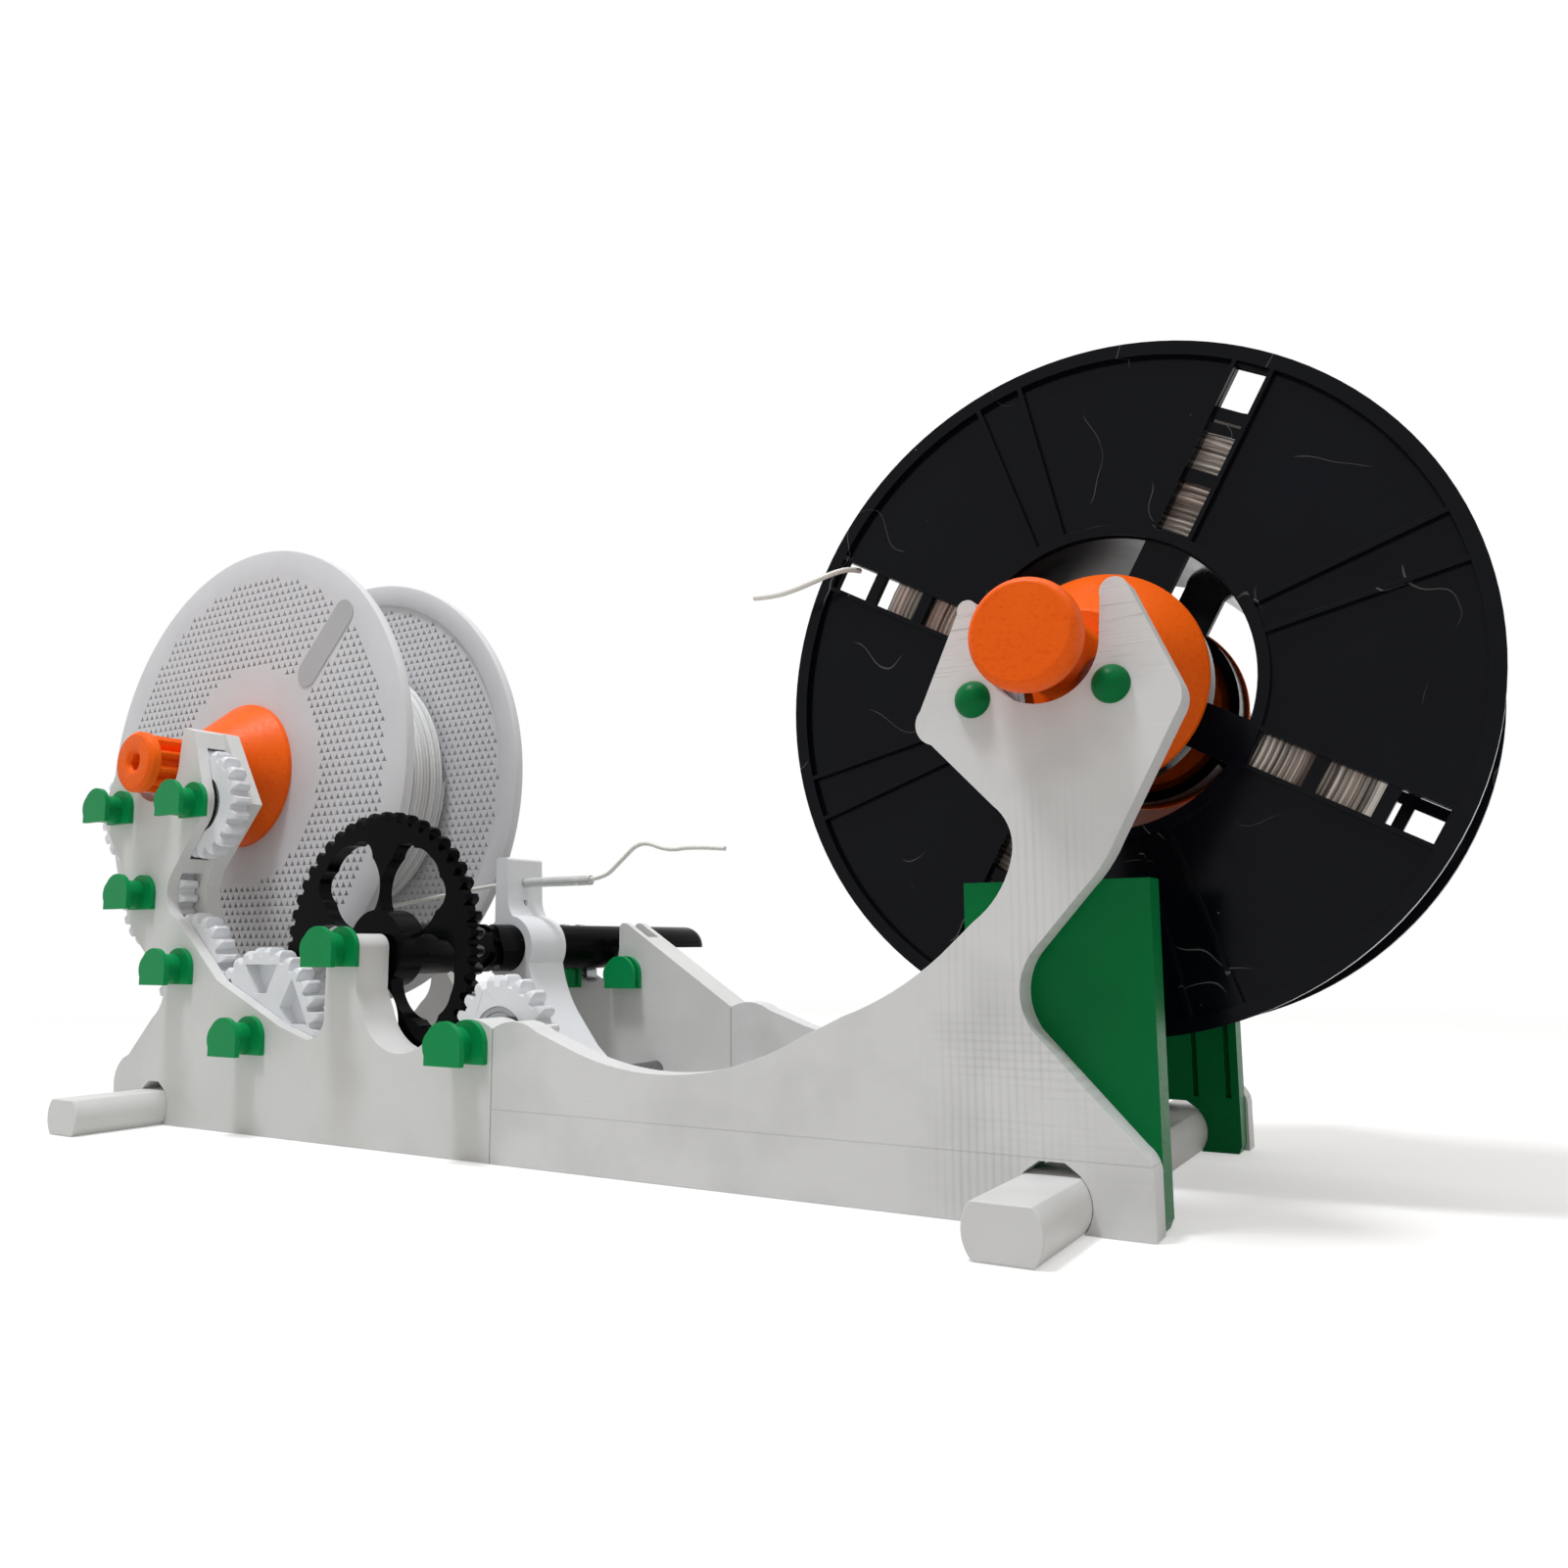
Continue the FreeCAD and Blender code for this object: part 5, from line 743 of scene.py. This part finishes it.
class WINDER_OT_white_spool(PieceOperator, bpy.types.Operator):
    """Moulds the white spool: plain hub and rims, and flanges with a fine lattice of three-armed holes"""
    bl_idname = "winder.white_spool"
    bl_label = "White spool"

    def make(self, settings):
        low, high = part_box("white_spool")
        near = low[1] + FIELD_RISE
        far = high[1]
        for side, face, inward in (("front", near, 1), ("rear", far, -1)):
            self.make_rim(side, face, inward, settings.turned_segments)
            self.make_lattice(side, face, inward, settings.lattice_pitch * MM)
        self.make_hub(near, far, settings.turned_segments)
        self.make_field(low[1], near)

    def piece(self, name, verts, faces, material):
        """A closed piece of the white spool."""
        return facing_out(mesh_piece(name, verts, faces, material, "take_up_spool"))

    def make_rim(self, side, face, inward, segments):
        """The plain ring outside the lattice: a profile that is deeper than the flange, with rounded outer
        edges and a chamfer at the inner one."""
        flange = face + inward * FLANGE_DEPTH
        lip = face + inward * RIM_DEPTH
        corner = 0.8 * MM
        middle = 0.25 * MM
        inside = LATTICE_OUTER + 0.5 * MM
        chamfer_out, chamfer_down = 0.7 * MM, 0.4 * MM
        profile = [(LATTICE_OUTER, face), (SPOOL_RADIUS - corner, face),
                   (SPOOL_RADIUS - middle, face + inward * middle), (SPOOL_RADIUS, face + inward * corner),
                   (SPOOL_RADIUS, lip - inward * corner), (SPOOL_RADIUS - middle, lip - inward * middle),
                   (SPOOL_RADIUS - corner, lip), (inside + chamfer_out, lip),
                   (inside, lip - inward * chamfer_down), (inside, flange), (LATTICE_OUTER, flange)]
        verts, faces = turned_surface(profile, TAKE_UP_X, AXLE_Z, segments)
        self.piece("white_spool_rim_" + side, verts, faces, white_moulding())

    def make_lattice(self, side, face, inward, pitch):
        """The holed ring between hub and rim. The front one has no holes under the bare field."""
        centre_x, centre_z = lattice_centres(HUB_RADIUS, LATTICE_OUTER, pitch)
        if side == "front":
            along = centre_x * math.cos(FIELD_LEAN) + centre_z * math.sin(FIELD_LEAN)
            aside = centre_z * math.cos(FIELD_LEAN) - centre_x * math.sin(FIELD_LEAN)
            room = FIELD_HALF + FIELD_MARGIN
            clear = (np.abs(aside) > room) | (along < BARE_FROM) | (along > FIELD_ENDS[0] + room)
            centre_x, centre_z = centre_x[clear], centre_z[clear]
        loops = [circle_loop(LATTICE_OUTER, count=180), circle_loop(HUB_RADIUS, count=96),
                 *three_armed_loops(centre_x, centre_z)]
        verts, faces = holed_plate(loops, face, face + inward * FLANGE_DEPTH)
        self.piece("white_spool_lattice_" + side, verts, faces, white_moulding())

    def make_hub(self, near, far, segments):
        """The turned hub: a profile with two end rings, the core between the flanges, and a hollow in it."""
        near_flange, far_flange = near + FLANGE_DEPTH, far - FLANGE_DEPTH
        profile = [(BORE_RADIUS, near), (HUB_RADIUS, near), (HUB_RADIUS, near_flange),
                   (CORE_RADIUS, near_flange), (CORE_RADIUS, far_flange), (HUB_RADIUS, far_flange),
                   (HUB_RADIUS, far), (BORE_RADIUS, far), (BORE_RADIUS, far_flange),
                   (HOLLOW_RADIUS, far_flange), (HOLLOW_RADIUS, near_flange), (BORE_RADIUS, near_flange)]
        verts, faces = turned_surface(profile, TAKE_UP_X, AXLE_Z, segments)
        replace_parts(self.piece("white_spool_hub", verts, faces, white_moulding()), "white_spool")

    def make_field(self, top, near):
        """The bare field: two half circles joined by straight sides, leaning with the spool."""
        half_circle = np.linspace(-math.pi / 2, math.pi / 2, 17)
        ends = []
        for middle, turn in zip(FIELD_ENDS, (0.0, math.pi)):
            angle = half_circle + turn
            ends.append(np.stack([middle + FIELD_HALF * np.cos(angle), FIELD_HALF * np.sin(angle)], -1))
        flat = np.concatenate(ends)
        loop = np.stack([TAKE_UP_X + flat[:, 0] * math.cos(FIELD_LEAN) - flat[:, 1] * math.sin(FIELD_LEAN),
                         AXLE_Z + flat[:, 0] * math.sin(FIELD_LEAN) + flat[:, 1] * math.cos(FIELD_LEAN)], -1)
        verts, faces = holed_plate([loop], top, near + FIELD_DEPTH)
        field = self.piece("white_spool_field", verts, faces, satin_field())
        bevel = field.modifiers.new("edge", "BEVEL")
        bevel.width = 0.25 * MM
        bevel.segments = 2


class WINDER_OT_black_spool(PieceOperator, bpy.types.Operator):
    """Moulds the glossy black spool"""
    bl_idname = "winder.black_spool"
    bl_label = "Black spool"

    def make(self, settings):
        softened("black_spool", black_moulding(), width=0.35)


# Points along one turn of filament, sides of its tube, and points along the side of one layer.
TURN_STEPS = 72
TURN_SIDES = 8
LAYER_STEPS = 6
# The first layer lies this far off the core. A layer sinks a little between the turns of the last one, and
# its turns bulge at both sides. The outer turns dip by up to twice the swing.
CORE_AIR = 0.05 * MM
LAYER_RISE = FILAMENT * 0.93
LAYER_BULGE = FILAMENT * 0.35
SWING = 0.08 * MM


def wound_strand(x, z, radius, low, high, gap):
    """A helix about the axle: the angle runs on evenly, Y climbs about one strand spacing in a turn, and the
    radius swings a little with a slow sum of sines."""
    loops = int((high - low - FILAMENT) / gap)
    angle = np.linspace(0, 2 * np.pi * loops, loops * TURN_STEPS)
    rise = (high - low - FILAMENT) / (2 * np.pi * loops)
    swing = SWING * (np.sin(angle * 0.37) + 0.6 * np.sin(angle * 1.31 + 1.0)) / 1.6
    reach = radius - SWING + swing
    climb = low + FILAMENT / 2 + rise * angle
    return np.stack([x + reach * np.cos(angle), climb, z + reach * np.sin(angle)], -1)


def layered_core(inner, outer, low, high):
    """The layers under the outer turns: a ring whose two sides swell once for each layer, as half a sine
    wave over its strand."""
    layers = int((outer - inner) / LAYER_RISE)
    steps = layers * LAYER_STEPS + 1
    edges = np.linspace(inner, outer, steps)
    swell = np.abs(np.sin(np.linspace(0, layers * np.pi, steps))) * LAYER_BULGE
    near = np.stack([edges, low + LAYER_BULGE - swell], -1)
    far = np.stack([edges[::-1], high - LAYER_BULGE + swell[::-1]], -1)
    return np.concatenate([near, far])


class WINDER_OT_windings(PieceOperator, bpy.types.Operator):
    """Winds the filament on both spools, turn beside turn over ridged layers"""
    bl_idname = "winder.windings"
    bl_label = "Windings"

    def make(self, settings):
        gap = settings.strand_gap * MM
        for prefix, x, body, slot, material in (
                ("white", TAKE_UP_X, "take_up_spool", "clear_filament", white_strand()),
                ("supply", SUPPLY_X, "supply_spool", "grey_filament", grey_strand())):
            low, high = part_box(prefix + "_winding_turns")
            radius = (high[0] - low[0]) / 2 - FILAMENT / 2
            path = wound_strand(x, AXLE_Z, radius, low[1], high[1], gap)
            verts, faces = tube_surface(path, FILAMENT / 2, TURN_SIDES)
            turns = mesh_piece(prefix + "_wound_turns", verts, faces, material, body)
            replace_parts(turns, prefix + "_winding_turns")
            core_low, core_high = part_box(prefix + "_winding_core")
            outer = (core_high[0] - core_low[0]) / 2
            profile = layered_core(CORE_RADIUS + CORE_AIR, outer, core_low[1], core_high[1])
            verts, faces = turned_surface(profile, x, AXLE_Z, settings.turned_segments)
            core = facing_out(mesh_piece(prefix + "_wound_layers", verts, faces, material, body))
            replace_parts(core, prefix + "_winding_core")


# The routes of the free filament ends, in millimetres.
FEED_ROUTE = [(-175.37, 2.75, 81.90), (-131.71, 2.35, 86.71), (-86.07, 2.75, 92.76), (-57.57, 2.75, 92.79),
              (-29.07, 2.75, 92.76), (-20.07, 2.75, 99.76), (-9.57, 2.15, 107.76), (3.93, 1.75, 102.76),
              (15.93, 1.15, 103.96), (30.93, 0.75, 102.36)]
SUPPLY_ROUTE = [(107.03, -34.50, 187.31), (106.23, -39.50, 186.81), (103.13, -44.10, 184.91),
                (97.73, -47.10, 182.31), (91.03, -48.40, 180.11), (83.03, -48.70, 178.91),
                (75.03, -48.20, 179.71)]


def strand(name, node, body, route):
    """A free filament end: a smooth spline that follows the route's points, as thick as the filament."""
    curve = bpy.data.curves.new(name, "CURVE")
    curve.dimensions = "3D"
    spline = curve.splines.new("NURBS")
    spline.points.add(len(route) - 1)
    for point, place in zip(spline.points, route):
        point.co = (place[0] * MM, place[1] * MM, place[2] * MM, 1.0)
    spline.order_u = 3
    spline.use_endpoint_u = True
    spline.use_smooth = True
    spline.resolution_u = 12
    curve.bevel_depth = FILAMENT / 2
    curve.bevel_resolution = 8
    curve.use_fill_caps = True
    curve.materials.append(natural_strand())
    obj = bpy.data.objects.new(name, curve)
    bpy.context.scene.collection.objects.link(obj)
    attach(obj, body)
    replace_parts(obj, node)


class WINDER_OT_filament(PieceOperator, bpy.types.Operator):
    """Lays the two free filament ends"""
    bl_idname = "winder.filament"
    bl_label = "Free filament"

    def make(self, settings):
        strand("filament_feed_strand", "filament_feed", "guide", FEED_ROUTE)
        strand("supply_end_strand", "supply_filament_end", "supply_spool", SUPPLY_ROUTE)


# Stage

# Half the floor's width, and how far it lies under the feet.
FLOOR_REACH = 3.0
FLOOR_DROP = 0.2 * MM
# The floor turns into the white of the room between these distances from the object.
FADE_FROM, FADE_TO = 0.35, 1.1
# Each lamp's place and its width and length, and where both look.
WINDOW_PLACE = (-0.18, -0.45, 1.53)
WINDOW_SIZE = (0.25, 0.25)
CEILING_PLACE = (0.3, 0.1, 1.4)
CEILING_SIZE = (1.4, 1.0)
AIM = (0.0, 0.0, 0.1)
# The photograph's camera: its width and focal length in pixels, its place, and its turns in degrees.
PHOTO_WIDTH = 1601
FOCAL_LENGTH = 1214.94
CAMERA_PLACE = (0.27729, -0.37045, 0.06679)
YAW, PITCH, ROLL = 30.708, 7.657, -0.347


def seen_directly(tree):
    """One for the rays that look at the background: from the camera, through glass or off gloss."""
    path = add(tree, "ShaderNodeLightPath")
    through = add(tree, "ShaderNodeMath", {"operation": "MAXIMUM"},
                  {0: path.outputs["Is Camera Ray"], 1: path.outputs["Is Transmission Ray"]})
    seen = add(tree, "ShaderNodeMath", {"operation": "MAXIMUM"},
               {0: through.outputs[0], 1: path.outputs["Is Glossy Ray"]})
    return seen.outputs[0]


def backdrop_material(colour, lift):
    """A pale matt floor that keeps the shadow. For rays that look at it, lift brings it up to white, and
    away from the object it turns into the white of the room. Its coordinates are in metres."""
    material, tree, out, place = new_material("pale_paper_backdrop", (1, 1, 1))
    seen = seen_directly(tree)
    paper = add(tree, "ShaderNodeBsdfDiffuse", {"Color": (*colour, 1.0)})
    raised = add(tree, "ShaderNodeMath", {"operation": "MULTIPLY", 1: lift}, {0: seen})
    glow = add(tree, "ShaderNodeEmission", {"Color": (1, 1, 1, 1)}, {"Strength": raised.outputs[0]})
    near = add(tree, "ShaderNodeAddShader", {}, {0: paper.outputs[0], 1: glow.outputs[0]})
    away = add(tree, "ShaderNodeVectorMath", {"operation": "LENGTH"}, {0: place})
    fade = add(tree, "ShaderNodeMapRange",
               {"interpolation_type": "SMOOTHSTEP", "From Min": FADE_FROM, "From Max": FADE_TO},
               {"Value": away.outputs["Value"]})
    share = add(tree, "ShaderNodeMath", {"operation": "MULTIPLY"}, {0: fade.outputs[0], 1: seen})
    white = add(tree, "ShaderNodeEmission", {"Color": (1, 1, 1, 1), "Strength": 1.0})
    mixed = add(tree, "ShaderNodeMixShader", {},
                {0: share.outputs[0], 1: near.outputs[0], 2: white.outputs[0]})
    tree.links.new(mixed.outputs[0], out.inputs[0])
    return material


def lay_floor(settings):
    """A square sheet just under the feet."""
    mesh = bpy.data.meshes.new("floor")
    corners = [(-FLOOR_REACH, -FLOOR_REACH), (FLOOR_REACH, -FLOOR_REACH), (FLOOR_REACH, FLOOR_REACH),
               (-FLOOR_REACH, FLOOR_REACH)]
    mesh.from_pydata([(x, y, -FLOOR_DROP) for x, y in corners], [], [(0, 1, 2, 3)])
    mesh.materials.append(backdrop_material(tuple(settings.floor_colour), settings.floor_lift))
    floor = bpy.data.objects.new("floor", mesh)
    bpy.context.scene.collection.objects.link(floor)


def light_room(strength):
    """A faintly warm light from all round, which looks white where a ray sees it directly."""
    world = bpy.data.worlds.new("white_room")
    bpy.context.scene.world = world
    world.use_nodes = True
    tree = world.node_tree
    tree.nodes.clear()
    seen = seen_directly(tree)
    shade = add(tree, "ShaderNodeMix", {"data_type": "RGBA", 6: linear("#FFFCF8"), 7: (1, 1, 1, 1)},
                {0: seen})
    power = add(tree, "ShaderNodeMapRange", {"To Min": strength, "To Max": 1.0}, {"Value": seen})
    sky = add(tree, "ShaderNodeBackground", {}, {"Color": shade.outputs[2], "Strength": power.outputs[0]})
    out = add(tree, "ShaderNodeOutputWorld")
    tree.links.new(sky.outputs[0], out.inputs[0])


def area_light(name, place, size, power, colour):
    """A rectangular lamp that looks at the object."""
    lamp = bpy.data.lights.new(name, "AREA")
    lamp.shape = "RECTANGLE"
    lamp.size, lamp.size_y = size
    lamp.energy = power
    lamp.color = linear(colour)[:3]
    obj = bpy.data.objects.new(name, lamp)
    bpy.context.scene.collection.objects.link(obj)
    obj.location = place
    obj.rotation_euler = (Vector(AIM) - Vector(place)).to_track_quat("-Z", "Y").to_euler()


def place_camera():
    """The camera of the photograph: low, near the right foot, turned to the left and slightly up."""
    lens = bpy.data.cameras.new("photo_camera")
    lens.sensor_width = 36.0
    lens.lens = FOCAL_LENGTH / PHOTO_WIDTH * lens.sensor_width
    lens.clip_start = 0.01
    camera = bpy.data.objects.new("photo_camera", lens)
    bpy.context.scene.collection.objects.link(camera)
    yaw, pitch, roll = (math.radians(angle) for angle in (YAW, PITCH, ROLL))
    camera.matrix_world = (Matrix.Translation(CAMERA_PLACE) @ Matrix.Rotation(yaw, 4, "Z")
                           @ Matrix.Rotation(math.pi / 2 + pitch, 4, "X") @ Matrix.Rotation(roll, 4, "Z"))
    bpy.context.scene.camera = camera


class WINDER_OT_stage(PieceOperator, bpy.types.Operator):
    """Sets the floor, the soft window light, the white surroundings and the camera"""
    bl_idname = "winder.stage"
    bl_label = "Stage"

    def make(self, settings):
        lay_floor(settings)
        light_room(settings.room_light)
        area_light("window_above", WINDOW_PLACE, WINDOW_SIZE, settings.key_power, "#F6F9FF")
        area_light("ceiling", CEILING_PLACE, CEILING_SIZE, settings.fill_power, "#FFFFFF")
        place_camera()
        bpy.context.scene.view_settings.view_transform = "Standard"


OPERATORS = [WINDER_OT_frames, WINDER_OT_pins, WINDER_OT_bearings, WINDER_OT_gears, WINDER_OT_level_wind,
             WINDER_OT_turned_parts, WINDER_OT_white_spool, WINDER_OT_black_spool, WINDER_OT_windings,
             WINDER_OT_filament, WINDER_OT_stage]


class WINDER_PT_panel(bpy.types.Panel):
    bl_label = "Spool winder"
    bl_idname = "WINDER_PT_panel"
    bl_space_type = "VIEW_3D"
    bl_region_type = "UI"
    bl_category = "Winder"

    def draw(self, context):
        for name in WinderSettings.__annotations__:
            self.layout.prop(context.scene.winder, name)
        for operator in OPERATORS:
            self.layout.operator(operator.bl_idname)


CLASSES = [WinderSettings, *OPERATORS, WINDER_PT_panel]


def register():
    for item in CLASSES:
        bpy.utils.register_class(item)
    bpy.types.Scene.winder = PointerProperty(type=WinderSettings)


def unregister():
    del bpy.types.Scene.winder
    for item in reversed(CLASSES):
        bpy.utils.unregister_class(item)


def main():
    register()
    for operator in OPERATORS:
        group, name = operator.bl_idname.split(".")
        getattr(getattr(bpy.ops, group), name)()


if __name__ == "__main__":
    main()
